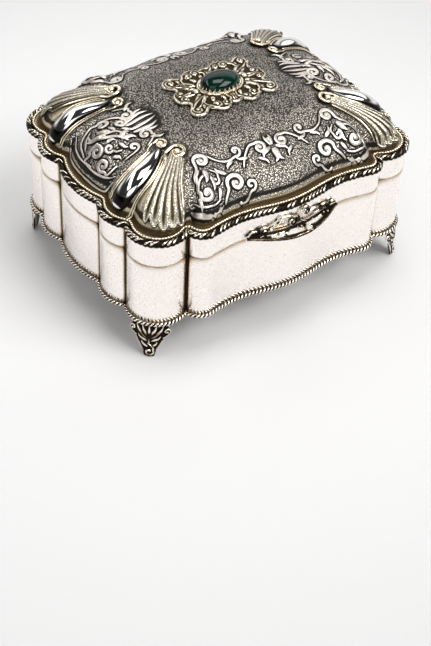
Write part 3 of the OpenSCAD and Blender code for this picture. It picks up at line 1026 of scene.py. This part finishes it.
SIDE_BLADES = [
    ((54.6, -2.0), (60.4, -7.8), 2.6, 0.15), ((52.2, -2.6), (55.0, -8.6), 2.2, 0.2),
    ((50.2, -1.8), (50.8, -6.2), 1.9, 0.1), ((50.6, 2.8), (45.8, 2.4), 2.2, 0.15),
    ((50.8, 4.4), (45.2, 6.8), 2.0, 0.2), ((52.6, 5.4), (50.2, 8.8), 1.7, -0.2),
    ((57.4, 8.6), (55.6, 11.8), 1.6, 0.2), ((47.6, -1.0), (44.0, 0.6), 1.8, -0.2),
    ((58.4, -1.6), (63.0, -3.0), 1.6, 0.2), ((56.8, 1.6), (53.2, 3.4), 1.6, 0.2),
]
KNOBS = [((31.4, 33.4), 0.95), ((22.6, 46.0), 1.15), ((36.8, 47.0), 0.95), ((5.4, 37.4), 0.85),
         ((16.0, 35.0), 0.75), ((0.0, 35.4), 1.0), ((40.2, 17.2), 0.8), ((41.6, 7.6), 0.75)]


def blade_lines(blades):
    """The middle line and half width of each leaf of a list."""
    return [(blade(root, tip, bend), width / 2) for root, tip, width, bend in blades]


def chased(ribs, blades):
    """The raised lines and leaves of two lists."""
    parts = [rib(points, radius) for points, radius in ribs]
    return parts + [rib(points, radius, 0.6, 0.4, 0.06, 0.3, 5) for points, radius in blade_lines(blades)]


def lid_relief():
    quarter = chased(QUARTER_RIBS, QUARTER_BLADES) + [knob(on_dome, at, radius) for at, radius in KNOBS]
    side = chased(SIDE_RIBS, SIDE_BLADES)
    verts, faces, wear_and_shading = merge(all_copies(quarter) + all_copies(side, HALF_TURNS))
    make("chased_scrolls", verts, faces, "lid", CHASED, wear_and_shading=wear_and_shading)


CORNER_NAMES = ("back_right", "back_left", "front_left", "front_right")


def lid_corners():
    """Each corner's polished gadroon and fluted shell, and the frames round them all."""
    for kind, part, material in (("gadroon_", gadroon(), POLISHED), ("shell_", shell(), SHELL)):
        for corner, (verts, faces, wear_and_shading) in zip(CORNER_NAMES, copies(part)):
            make(kind + corner, verts, faces, "lid", material, wear_and_shading=wear_and_shading)
    verts, faces, wear_and_shading = merge(all_copies(shell_trim() + gadroon_frame()))
    make("corner_frames", verts, faces, "lid", GILT, wear_and_shading=wear_and_shading)


def drawn(ribs, blades):
    """Points along the lines and leaves of two lists, with their half widths."""
    lines = [(curve(points, 2), radius) for points, radius in ribs]
    return lines + [(curve(points, 3), radius) for points, radius in blade_lines(blades)]


def dark_lines():
    """Points along every line of the relief, with the half width of the line there."""
    quarter = drawn(QUARTER_RIBS, QUARTER_BLADES)
    quarter += [(curve(edge, 3), 1.0) for edge, _ in gadroon_edges()]
    quarter += [(VOLUTE_LINE, 1.2), (CURL_LINE, 1.4)]
    flat, side, u = axis_frame(SHELL_AXIS, 12)
    quarter += [(flat + sign * side * (shell_half_width(u) + 0.6)[:, None], 1.0) for sign in (-1, 1)]
    for lines, signs in ((quarter, QUARTERS), (drawn(SIDE_RIBS, SIDE_BLADES), HALF_TURNS)):
        for points, radius in lines:
            for sign in signs:
                yield points * sign, radius


# How far the darkening beside the relief reaches: partly tarnish in the chased furrows, partly painted
# shade.
TARNISH_AND_SHADE_REACH = 1.0
FURROW_DEPTH = 0.22
CORNER_GILT_AT = (56, 34)
CORNER_GILT_REACH = 17
INNER_SHRINK = 0.012


def relief_shade():
    """1 along the lines of the relief, falling off beside them, at each vertex of the skin; it lowers the
    dome there into a furrow and darkens it, partly as tarnish and partly as painted shade.
    """
    lines = list(dark_lines())
    tree = KDTree(sum(len(points) for points, _ in lines))
    widths = []
    for points, radius in lines:
        for x, y in points:
            tree.insert((x, y, 0), len(widths))
            widths.append(radius)
    tree.balance()
    shade = np.zeros(len(SKIN_VERTS))
    for i, (x, y, _) in enumerate(SKIN_VERTS):
        _, nearest, distance = tree.find((x, y, 0))
        shade[i] = math.exp(-(max(distance - widths[nearest], 0) / TARNISH_AND_SHADE_REACH) ** 2)
    return shade


def skin_wear_and_shading(shade, lift):
    """Wear of the outer face, and its gilding: round the edge and in the hollows of the corners.
    The outer slopes are brighter, partly from rubbing and partly as a painted sheen; the gilt cove is
    painted dark as painted shade; beside the relief it is darker, partly tarnish and partly painted shade.
    """
    lip = ridge_at(SKIN_SCALE, LIP_S, LIP_WIDE)
    furrow = ridge_at(SKIN_SCALE, FURROW_S, 1.6 * FURROW_WIDE)
    # Brighter out on the slopes: partly rubbing, partly a painted sheen.
    rubbed_and_sheen = np.clip((SKIN_SCALE - 0.5) / 0.3, 0, 1)
    wear_and_shading = 0.42 + 0.55 * rubbed_and_sheen + 0.08 * lift - 0.45 * shade
    # Painted shade: the gilt cove is kept dark, with a brighter band by the bead line.
    cove = SKIN_SCALE > LIP_S + LIP_WIDE
    wear_and_shading = np.where(cove, 0.14 + 0.4 * ridge_at(SKIN_SCALE, 0.985, 0.005), wear_and_shading)
    away = np.abs(SKIN_VERTS[:, :2]) - CORNER_GILT_AT
    corner = smooth_bump(np.hypot(*away.T) / CORNER_GILT_REACH)
    gild = np.where(cove, 1.0, 0.8 * corner * (1 - 0.5 * lift)) + 0.3 * lip
    return np.clip(wear_and_shading + lip - 1.3 * furrow, 0, 1), np.clip(gild, 0, 1)


def inner_skin():
    """The inner face of the sheet, with the hollows of the embossing but none of the chasing."""
    scales = np.concatenate([np.linspace(1, 0.86, 9), np.linspace(0.86, 0.03, 20)[1:], [0.004]])
    loop = dome_loop(400)
    verts = np.vstack([dome_ring(loop, s) for s in scales])
    verts[:, 2] += dome_relief(verts[:, 0], verts[:, 1]) * above_cove(verts[:, 2]) - SHEET_T
    verts[:, :2] *= 1 - INNER_SHRINK
    faces = grid_faces(len(scales), len(loop), False, True).tolist()
    end = (len(scales) - 1) * len(loop)
    faces.append([end + i for i in range(len(loop))])
    return verts, faces, 0.62


def embossed_dome(name):
    """The lid's sheet: its outer face with tarnish and painted shade round the relief, and its inner face.
    """
    shade = relief_shade()
    verts = SKIN_VERTS.copy()
    verts[:, 2] -= FURROW_DEPTH * shade * above_cove(verts[:, 2])
    wear_and_shading, gild = skin_wear_and_shading(shade, dome_relief(verts[:, 0], verts[:, 1]))
    inside = inner_skin()
    verts, faces, wear_and_shading = merge([(verts, SKIN_FACES, wear_and_shading), inside])
    piece = make(name, verts, faces, "lid", EMBOSSED, ["lid_dome"], wear_and_shading)
    add_layer(piece.data, "gild", np.concatenate([gild, np.full(len(inside[0]), 0.35)]))


embossed_dome("embossed_dome")
lid_relief()
lid_corners()

# ---------------------------------------------------------------- castings

def remeshed(name, parts, voxel, body, material, replaces):
    """Strands and blobs melted into one casting, with wear from how proud each point stands."""
    verts, faces, _ = merge(parts)
    obj = add_object(name, new_mesh(name, verts, faces))
    melt = obj.modifiers.new("melt", "REMESH")
    melt.mode = "VOXEL"
    melt.voxel_size = voxel * MM
    smooth = obj.modifiers.new("smooth", "SMOOTH")
    smooth.factor = 0.5
    smooth.iterations = 2
    done = bpy.data.meshes.new_from_object(obj.evaluated_get(bpy.context.evaluated_depsgraph_get()))
    obj.modifiers.clear()
    obj.data = done
    finish_piece(obj, body, material, replaces, proudness(done))
    return obj


def proudness(mesh, passes=6):
    """0 in hollows and 1 on crests, from how each vertex stands against its neighbourhood."""
    count = len(mesh.vertices)
    co, normal = np.empty(count * 3), np.empty(count * 3)
    mesh.vertices.foreach_get("co", co)
    mesh.vertices.foreach_get("normal", normal)
    co, normal = co.reshape(-1, 3), normal.reshape(-1, 3)
    edges = np.empty(len(mesh.edges) * 2, int)
    mesh.edges.foreach_get("vertices", edges)
    a, b = edges.reshape(-1, 2).T
    degree = np.maximum(np.bincount(a, minlength=count) + np.bincount(b, minlength=count), 1)

    def neighbour_mean(values):
        total = np.zeros_like(values)
        np.add.at(total, a, values[b])
        np.add.at(total, b, values[a])
        return total / (degree[:, None] if values.ndim > 1 else degree)

    spread = co
    for _ in range(passes):
        spread = neighbour_mean(spread)
    stands = ((co - spread) * normal).sum(axis=1)
    for _ in range(2):
        stands = (stands + neighbour_mean(stands)) / 2
    low, high = np.percentile(stands, [12, 88])
    return np.clip((stands - low) / (high - low), 0, 1)


def slab(chart, rows, thickness):
    """A thin plate on a chart: rows of (b, a from, a to), with its underside below it."""
    spots = [[chart(a, b) for a in np.linspace(a0, a1, 13)] for b, a0, a1 in rows]
    top, normal = (np.array([[spot[k] for spot in row] for row in spots]) for k in (0, 1))
    return bound_sheets(top, top - normal * thickness)


# Feet: the chart's a runs across the foot in millimetres and b up from the floor.

FOOT_TOP = base_low[2]


FOOT_R = 12.1
FOOT_SWELL = 1.5
FOOT_FLARE = 1.6
FOOT_PLATE_T = 1.3
FOOT_CHART_R = 12.5
# Lines and leaves of a foot's right half. A leaf has its root, tip, width, bend, height and lift.
FOOT_EDGE = [(8.3, 16.6), (7.6, 13.6), (5.6, 9.4), (3.6, 5.6), (2.0, 2.6), (1.5, 0.8)]
FOOT_VOLUTE = (7.2, 13.4)
FOOT_LEAVES = [
    ((0.4, 10.0), (5.8, 16.4), 1.6, -0.08, 0.7, 0.25), ((0.2, 10.4), (2.9, 16.8), 1.5, -0.06, 0.7, 0.3),
    ((0.5, 8.6), (4.6, 11.6), 1.4, -0.15, 0.6, 0.25), ((0.6, 5.2), (3.0, 8.4), 1.3, -0.15, 0.6, 0.25),
]


def foot_chart(a, b):
    """The foot's outer face: it swells below the wall, narrows, and flares at the floor."""
    t = 1 - b / FOOT_TOP
    radius = FOOT_R + FOOT_SWELL * math.sin(math.radians(150) * t) * (1 - t) + FOOT_FLARE * max(t, 0) ** 3
    angle = math.pi / 4 + a / FOOT_CHART_R
    out = np.array([math.cos(angle), math.sin(angle), 0.0])
    return np.array([*LOBE_CENTRE, b]) + out * radius, out


def foot_half_width(b):
    return 1.7 + 6.2 * (np.clip(b / FOOT_TOP, 0, 1)) ** 1.25


def foot_parts():
    levels = np.linspace(0.0, FOOT_TOP - 0.1, 16)
    rows = [(b, -foot_half_width(b) - 0.5, foot_half_width(b) + 0.5) for b in levels]
    parts = [slab(foot_chart, rows, FOOT_PLATE_T)]
    for s in (-1, 1):
        side = np.array([s, 1])
        start = -60 if s > 0 else 240
        volute = scroll(side * [(5.4, 10.2), (7.4, 11.4)], side * FOOT_VOLUTE, 1.5, start, s * 0.95)
        parts += [strand(foot_chart, side * FOOT_EDGE, 0.6, 0.5, 0.0, 0.7, 0.7),
                  strand(foot_chart, volute, 0.6, 1.0, 0.35),
                  knob(foot_chart, side * FOOT_VOLUTE, 0.75, 0.9, 0.5)]
        parts += [leaf(foot_chart, side * root, side * tip, width, s * bend, height, lift)
                  for root, tip, width, bend, height, lift in FOOT_LEAVES]
    parts.append(leaf(foot_chart, (0, 7.4), (0, 16.8), 1.5, 0, 0.7, 0.3))
    curl = scroll([(-0.6, 7.2), (1.5, 5.6)], (0.2, 2.9), 1.7, 30, -1.1)
    parts.append(strand(foot_chart, curl, 0.75, 0.9, 0.4))
    parts.append(knob(foot_chart, (0, 1.2), 1.6, 0.7, -0.2))
    return parts


def grounded(part):
    """A part cut off flat on the floor."""
    verts, faces, wear_and_shading = part
    verts = verts.copy()
    verts[:, 2] = np.clip(verts[:, 2], 0.02, FOOT_TOP)
    return verts, faces, wear_and_shading


def feet():
    corners = {name: [] for name in CORNER_NAMES}
    for part in foot_parts():
        for name, copy in zip(CORNER_NAMES, copies(grounded(part))):
            corners[name].append(copy)
    for name, parts in corners.items():
        remeshed("foot_" + name + "_leaf", parts, 0.2, "box", DARK_CAST, ["foot_" + name])


feet()

# Thumb piece: a runs along the front, and b up the lid's wall, or outwards where it is below 0.

SEAM_Z = (wall_high[2] + collar_low[2]) / 2
THUMB_HALF = thumb_high[0]


def thumb_chart(a, b):
    fade = math.sqrt(max(1 - (a / (THUMB_HALF + 0.4)) ** 2, 0.02))
    wall = -float(front_y(np.clip(a, -THUMB_HALF, THUMB_HALF)))
    up = max(b, 0.0)
    out = max(-b, 0.0) * fade
    y = wall - 0.75 - out - 0.10 * (max(2 - abs(b), 0)) ** 2
    z = SEAM_Z + 0.9 + up - 0.055 * out ** 2
    tilt = np.clip((b + 2.2) / 3.6, 0, 1)
    normal = np.array([0, -math.sin(math.pi / 2 * tilt) - 0.12, math.cos(math.pi / 2 * tilt)])
    return np.array([a, y, z]), normal / np.linalg.norm(normal)


def bounded(part):
    """A part kept inside the thumb piece's box and under the border."""
    verts, faces, wear_and_shading = part
    low = [-math.inf, thumb_low[1] + 0.1, thumb_low[2] + 0.1]
    return np.clip(verts, low, [math.inf, math.inf, rim_low[2] - 0.1]), faces, wear_and_shading


def thumb_piece():
    rim_line = [(-23.4, 0.0), (-21, -2.2), (-16, -3.9), (-9, -4.7), (0, -5.0), (9, -4.7), (16, -3.9),
                (21, -2.2), (23.4, 0.0)]
    root_line = [(-23.2, 0.2), (-12, 0.1), (0, 0.1), (12, 0.1), (23.2, 0.2)]
    parts = [strand(thumb_chart, rim_line, 0.78, 1.0, 0, 0.8, 0.8),
             strand(thumb_chart, root_line, 0.85, 0.8, -0.1, 0.8, 0.8)]
    strands = [
        (scroll([(-14.5, 0.6), (-11.4, 4.2), (-7.4, 6.5), (-3.4, 6.2)], (-2.2, 3.2), 2.3, 60, -1.05), 0.85),
        (scroll([(8.6, -0.6), (4.2, 0.6), (0.9, 3.4), (1.6, 6.6)], (4.4, 6.0), 2.1, 110, -1.1), 0.85),
        (scroll([(-10.4, -2.6), (-6.0, -3.9), (-0.4, -4.2)], (1.0, -1.8), 2.3, -60, 1.15), 0.85),
        (scroll([(3.0, -1.0), (5.4, -2.8), (9.0, -3.4), (13.0, -3.0)], (14.6, -1.2), 1.7, -60, 1.1), 0.7),
        (scroll([(-3.6, -0.4), (-7.6, -1.6), (-12.0, -2.4)], (-15.2, -1.4), 1.5, -80, -1.0), 0.6),
        ([(-22.6, 0.6), (-20.6, 2.6), (-17.6, 2.2), (-15.4, 3.4), (-12.8, 3.0), (-11.0, 4.0)], 0.8),
        ([(22.8, 0.6), (21.0, 2.9), (18.0, 2.4), (15.6, 4.0), (12.6, 3.4), (9.6, 5.0), (6.4, 4.4)], 0.85),
        ([(-19.0, 1.0), (-15.0, 1.7), (-11.0, 1.5)], 0.55), ([(19.0, 1.2), (14.6, 2.0), (9.4, 2.2)], 0.6),
    ]
    parts += [strand(thumb_chart, points, radius, 0.9, 0.25) for points, radius in strands]
    leaves = [((-20.6, -0.6), (-17.4, -3.4), 2.0, 0.1), ((-17.0, -0.5), (-20.0, -2.2), 1.4, 0.1),
              ((20.6, -0.6), (17.2, -3.4), 2.0, -0.1), ((16.8, -0.6), (11.4, -0.9), 1.5, 0.1),
              ((17.6, -1.2), (20.8, -1.6), 1.5, 0.1), ((-7.4, -3.0), (-3.4, -1.6), 1.3, 0.1),
              ((5.0, -3.6), (9.6, -4.4), 1.2, 0.1), ((10.4, 4.8), (13.2, 2.4), 1.4, 0.1),
              ((-8.6, 5.6), (-11.6, 2.2), 1.3, 0.15), ((20.0, 2.2), (22.6, 1.6), 1.5, 0.1),
              ((-21.6, 1.6), (-18.0, 1.2), 1.5, 0.1)]
    parts += [leaf(thumb_chart, a, b, w, bend, 0.6, 0.2) for a, b, w, bend in leaves]
    knobs = [((-2.3, 3.1), 1.0), ((4.4, 5.7), 0.9), ((1.0, -1.8), 1.0), ((14.5, -1.4), 0.8)]
    parts += [knob(thumb_chart, at, r, 0.9, 0.3) for at, r in knobs]
    remeshed("scroll_thumb_piece", [bounded(part) for part in parts], 0.2, "lid", DARK_CAST,
             ["thumb_piece"])


thumb_piece()

# Mount of the stone: an openwork of scrolls that lies on the dome.

MOUNT_EDGE = [(21.6, 0.0), (20.9, 2.6), (18.4, 4.6), (18.4, 7.2), (20.8, 10.4), (19.8, 13.2), (16.6, 13.9),
              (13.6, 11.6), (11.0, 12.0), (9.0, 14.4), (5.8, 14.9), (3.4, 12.6), (0.0, 13.3)]
MOUNT_TOP = 1.1
MOUNT_SCROLLS = [
    (dome_scroll([(11.4, 4.2), (15.6, 6.2)], (18.0, 10.9), 2.3, -60, 1.15), 0.85),
    (dome_scroll([(9.6, 5.0), (13.0, 7.0), (13.0, 10.2)], (9.2, 11.4), 2.5, 0, 1.2), 0.85),
    (dome_scroll([(2.4, 7.8), (1.6, 10.4)], (5.0, 12.2), 2.1, 190, -1.15), 0.8),
    (dome_scroll([(11.2, 1.0), (14.8, 0.8)], (18.4, 2.3), 2.0, -110, 1.1), 0.8),
]
MOUNT_LEAVES = [
    ((9.8, 3.4), (16.4, 8.8), 2.3, 0.12), ((7.8, 5.8), (8.6, 10.2), 2.2, -0.15),
    ((4.6, 7.2), (4.2, 10.8), 2.0, 0.1), ((12.6, 3.0), (17.2, 5.2), 1.9, 0.15),
    ((0.5, 7.6), (0.4, 12.4), 2.2, 0.0), ((14.0, 8.4), (15.6, 12.4), 1.8, 0.1),
    ((11.0, 2.2), (14.6, 2.8), 1.8, 0.1), ((13.2, 10.0), (11.0, 13.4), 1.5, -0.1),
]
MOUNT_KNOBS = [((9.2, 11.4), 1.15), ((5.0, 12.2), 0.95), ((18.0, 10.9), 1.05), ((18.4, 2.3), 0.95)]
END_KNOB_X = 12.2


def oval(turn, grow):
    """The stone's outline, or one wider by grow."""
    return np.cos(turn) * (stone_high[0] + grow), np.sin(turn) * (stone_high[1] + grow)


def four_sided(points):
    """A closed loop from its points in one quarter of the plan, from +X to +Y."""
    quarter = np.array(points)
    half = np.vstack([quarter, (quarter * [-1, 1])[::-1][1:]])
    return np.vstack([half, -half[1:-1]])


def mount_plate(edge):
    """The dished plate under the scrolls, from the stone's seat out to the edge."""
    angle = np.arctan2(edge[:, 1] / stone_high[1], edge[:, 0] / stone_high[0])
    seat = np.column_stack([np.cos(angle) * stone_high[0], np.sin(angle) * stone_high[1]]) * 0.9
    shares = np.linspace(0, 1, 9)
    rings = []
    for share, over in [(t, True) for t in shares] + [(t, False) for t in shares[::-1]]:
        flat = seat + (edge - seat) * share
        ground = np.array([on_dome(*q)[0][2] for q in flat])
        top = MOUNT_TOP - 0.45 * math.sin(math.pi * share)
        rings.append(np.column_stack([flat, ground + (top if over else 0.15)]))
    return np.vstack(rings), grid_faces(len(rings), len(edge), True, True)[:, ::-1].tolist(), 0.5


def ornament():
    edge = four_sided(MOUNT_EDGE)
    loop = curve(np.vstack([edge, edge[:1]]), 5)[:-1]
    quarter = [strand(on_dome, points, r, 1.0, MOUNT_TOP, 0.6, 0.75) for points, r in MOUNT_SCROLLS]
    quarter += [leaf(on_dome, a, b, w, bend, 0.75, MOUNT_TOP - 0.1) for a, b, w, bend in MOUNT_LEAVES]
    quarter += [knob(on_dome, at, r, 1.1, MOUNT_TOP) for at, r in MOUNT_KNOBS]
    parts = all_copies(quarter) + [mount_plate(loop)]
    parts += [knob(on_dome, (x, 0), 1.6, 1.0, MOUNT_TOP) for x in (END_KNOB_X, -END_KNOB_X)]
    parts.append(strand(on_dome, np.vstack([edge, edge[:2]]), 0.78, 1.0, MOUNT_TOP - 0.1, 1, 1))
    turn = np.linspace(0, 2 * np.pi, 49)
    parts.append(strand(on_dome, np.column_stack(oval(turn, 1.1)), 0.7, 1.0, MOUNT_TOP, 1, 1, per=1))
    remeshed("cast_mount", parts, 0.24, "lid", GILT_CAST, ["ornament"])


ornament()

# ---------------------------------------------------------------- stone and its collar

TEETH = 26


STONE_SIDES = 96
STONE_GIRDLE = 1.0


def cabochon():
    """The oval stone: a short straight edge and a domed top."""
    turns = 2 * np.pi * np.arange(STONE_SIDES) / STONE_SIDES
    low = stone_low[2]
    girdle = low + STONE_GIRDLE
    levels = [(*oval(turns, grow), z)
              for grow, z in ((-0.55, low), (-0.05, low + 0.12), (0, low + 0.4), (0, girdle))]
    x, y = oval(turns, 0)
    for r in np.cos(np.linspace(0.08, 0.985, 22) * np.pi / 2):
        levels.append((x * r, y * r, girdle + (stone_high[2] - girdle) * (1 - r ** 2.25) ** 0.5))
    rings = [np.column_stack([x, y, np.full(STONE_SIDES, z)]) for x, y, z in levels]
    faces = flipped(rod_faces(len(rings), STONE_SIDES))
    make("green_cabochon", np.vstack(rings), faces, "lid", STONE, ["cabochon"])


TOOTH_STEPS = 8
TOOTH_TALL = 1.6


def bezel():
    """A collar of thin sheet cut into saw teeth that lean over the stone's edge."""
    count = TEETH * TOOTH_STEPS
    turns = 2 * np.pi * np.arange(count) / count
    tooth = 1 - np.abs((np.arange(count) % TOOTH_STEPS) / (TOOTH_STEPS / 2) - 1)
    low = on_dome(0, 0)[0][2] - 0.6
    shoulder = stone_low[2] + 0.7
    x, y = oval(turns, 0)
    norm = np.hypot(np.cos(turns) / stone_high[0], np.sin(turns) / stone_high[1])
    nx, ny = np.cos(turns) / stone_high[0] / norm, np.sin(turns) / stone_high[1] / norm
    rows = []
    for outer, shares in ((0.55, (0, 0.5, 1)), (0.2, (1, 0.5, 0))):
        for share in shares:
            z = low + (shoulder + TOOTH_TALL * tooth - low) * share
            lean = np.clip((z - shoulder - 0.3) / 1.5, 0, 1)
            reach = outer + 0.1 - 0.6 * lean ** 1.5
            rows.append(np.column_stack([x + nx * reach, y + ny * reach, z]))
    verts = np.stack(rows, axis=1).reshape(-1, 3)
    wear_and_shading = np.clip((verts[:, 2] - low) / 2.0, 0.3, 1)
    make("saw_tooth_bezel", verts, grid_faces(count, len(rows), True, True), "lid", GILT_CAST,
         ["bezel"], wear_and_shading, smooth=False)


cabochon()
bezel()

# ---------------------------------------------------------------- inside and underside

LIP_EASE = 0.15
LIP_UPPER_OUT = -1.37
LIP_LOWER_OUT = -1.02
LIP_IN = -2.13


def lip():
    """The strip inside the wall, set back a little where the lid's wall closes over it."""
    loop = offset_loop(0, 0.6)
    top, bottom, step = lip_high[2], lip_low[2], SEAM_Z - 0.15
    section = np.array([
        (LIP_LOWER_OUT, bottom), (LIP_LOWER_OUT, step), (LIP_UPPER_OUT, step),
        (LIP_UPPER_OUT, top - LIP_EASE), (LIP_UPPER_OUT - LIP_EASE, top), (LIP_IN + LIP_EASE, top),
        (LIP_IN, top - LIP_EASE), (LIP_IN, (top + bottom) / 2), (LIP_IN, bottom)])
    verts = ring_verts(loop, section[None, :, 0], section[None, :, 1])
    wear_and_shading = np.repeat(0.4 + 0.6 * crease_wear(loop), len(section))
    make("inner_lip_strip", verts, grid_faces(len(loop), len(section), True, True), "box",
         GILT, ["inner_lip"], wear_and_shading)


LINING_BACK = -1.1
LINING_FACE = -2.05
LINING_PLUMP = 0.13
PUCKER = 0.05


def lining():
    """Velvet stretched over card, a little fuller between its top and bottom edges."""
    loop = offset_loop(0, 0.7)
    low, high = lining_low[2], lining_high[2]
    levels = np.linspace(0, 1, 13)
    plump = LINING_FACE - LINING_PLUMP * np.sin(np.pi * levels) ** 0.5
    out = np.concatenate([[LINING_BACK], plump, [LINING_BACK]])
    height = np.concatenate([[low], low + (high - low) * levels, [high]])
    along = np.arange(len(loop))[:, None] / len(loop) * 2 * np.pi
    pucker = PUCKER * np.sin(23 * along + 3 * np.sin(7 * along))
    verts = ring_verts(loop, out[None, :] + pucker * (out < LINING_BACK)[None, :], height[None, :])
    faces = grid_faces(len(loop), len(out), True, True)
    piece = make("velvet_lining", verts, faces, "box", VELVET, ["wall_lining"])


def floor_cushion():
    """The velvet pad on the bottom, crowned, with its edge tucked down along the wall."""
    loop = offset_loop(-1.3, 1.0, 1.2)
    low, high = pad_low[2], pad_high[2]
    shares = np.concatenate([[1.0, 1.003, 1.0, 0.992, 0.98], np.linspace(0.965, 0.03, 34)])
    rows = []
    for i, share in enumerate(shares):
        crown = (high - low) * (0.80 + 0.2 * (1 - share ** 2))
        edge = np.clip(i / 4, 0, 1) ** 0.5
        sag = 0.12 * np.sin(loop[:, 0] * share / 9.0) * np.sin(loop[:, 1] * share / 8.0)
        z = low + 0.02 + crown * edge + (sag if i > 4 else np.zeros(len(loop)))
        rows.append(np.column_stack([loop * share, np.minimum(z, high)]))
    faces = flipped(rod_faces(len(rows), len(loop)))
    piece = make("velvet_floor_pad", np.vstack(rows), faces, "box", VELVET, ["floor_pad"])


lip()
lining()
floor_cushion()

for node in ("bottom_plate", "hinge_body_leaf", "hinge_lid_leaf", "hinge_pin"):
    for material_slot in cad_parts[node].material_slots:
        material_slot.material = PLAIN

# ---------------------------------------------------------------- floor, light and camera

FLOOR_SIZE = 12.0
CAMERA_AZIMUTH = math.radians(-35.84)
CAMERA_ELEVATION = math.radians(42.86)
CAMERA_ROLL = math.radians(3.10)
CAMERA_DISTANCE = 0.6474
CAMERA_AIM_RIGHT = 0.0007
CAMERA_AIM_DOWN = 0.0517
WALL_FOOT = Vector((0, PLAN_Y * MM, wall_low[2] * MM))
LENS = 79.86


def floor():
    half = FLOOR_SIZE / 2
    steps = np.linspace(-half, half, 13)
    verts = [(x, y, 0) for y in steps for x in steps]
    mesh = bpy.data.meshes.new("floor")
    mesh.from_pydata(verts, [], grid_faces(13, 13).tolist())
    mesh.materials.append(floor_material())
    add_object("floor", mesh)


def camera():
    a, e, r = CAMERA_AZIMUTH, CAMERA_ELEVATION, CAMERA_ROLL
    back = Vector((math.sin(a) * math.cos(e), -math.cos(a) * math.cos(e), math.sin(e)))
    level = Vector((math.cos(a), math.sin(a), 0))
    rise = back.cross(level)
    right = level * math.cos(r) + rise * math.sin(r)
    up = rise * math.cos(r) - level * math.sin(r)
    data = bpy.data.cameras.new("camera")
    data.lens = LENS
    data.sensor_fit = "VERTICAL"
    data.sensor_height = 36
    data.clip_start = 0.01
    obj = add_object("camera", data)
    place = WALL_FOOT + back * CAMERA_DISTANCE + right * CAMERA_AIM_RIGHT - up * CAMERA_AIM_DOWN
    obj.matrix_world = Matrix.Translation(place) @ Matrix((right, up, back)).transposed().to_4x4()
    bpy.context.scene.camera = obj


# Softboxes overhead: how far each lies to the right and behind, its half sizes, all as slopes from
# straight up, and how bright it is.
SOFT_BOXES = [(0.05, 0.12, 0.26, 0.24, 6.5), (-0.85, 0.10, 0.16, 0.60, 4.5), (1.0, -0.5, 0.5, 0.6, 8.0),
              (-0.3, -1.1, 0.5, 0.4, 1.6), (0.0, 2.0, 1.8, 1.2, 1.35)]
PALE = 0.80
DIM = 0.03
HORIZON = (0.05, 0.34)
BOX_EDGE = (0.85, 1.1)


def studio():
    """A pale horizon that the floor runs into, a dim room above it, and softboxes overhead."""
    world = bpy.data.worlds.new("studio")
    bpy.context.scene.world = world
    n = Nodes(world)
    way = n.add("ShaderNodeTexCoord").outputs["Generated"]
    right = (math.cos(CAMERA_AZIMUTH), math.sin(CAMERA_AZIMUTH), 0)
    behind = (-math.sin(CAMERA_AZIMUTH), math.cos(CAMERA_AZIMUTH), 0)
    height = n.dot(way, (0, 0, 1))
    steep = n.math("MAXIMUM", height, 0.05)
    slopes = [n.math("DIVIDE", n.dot(way, axis), steep) for axis in (right, behind)]
    level = n.span(height, *HORIZON, PALE, DIM)
    for x, y, half_x, half_y, strength in SOFT_BOXES:
        inside = strength
        for slope, centre, half in zip(slopes, (x, y), (half_x, half_y)):
            away = n.math("ABSOLUTE", n.math("SUBTRACT", slope, centre), 0.0)
            inner, outer = (half * share for share in BOX_EDGE)
            inside = n.math("MULTIPLY", n.span(away, inner, outer, 1.0, 0.0), inside)
        level = n.math("ADD", level, n.math("MULTIPLY", inside, n.span(height, 0.1, 0.2)))
    back = n.tree.nodes["Background"]
    n.set(back.inputs["Strength"], level)
    back.inputs["Color"].default_value = rgb(1.0, 0.995, 0.985)


FILL_PLACE = (-1.1, -0.9, 0.7)
FILL_SIZE = 0.8
FILL_POWER = 2.5


def fill_light():
    """A weak soft light from the front left."""
    light = bpy.data.lights.new("fill", "AREA")
    light.size = FILL_SIZE
    light.energy = FILL_POWER
    obj = add_object("fill", light)
    obj.location = FILL_PLACE
    obj.rotation_euler = (WALL_FOOT - obj.location).to_track_quat("-Z", "Y").to_euler()


floor()
studio()
fill_light()
camera()
bpy.context.scene.view_settings.view_transform = "Standard"

bpy.context.view_layer.update()
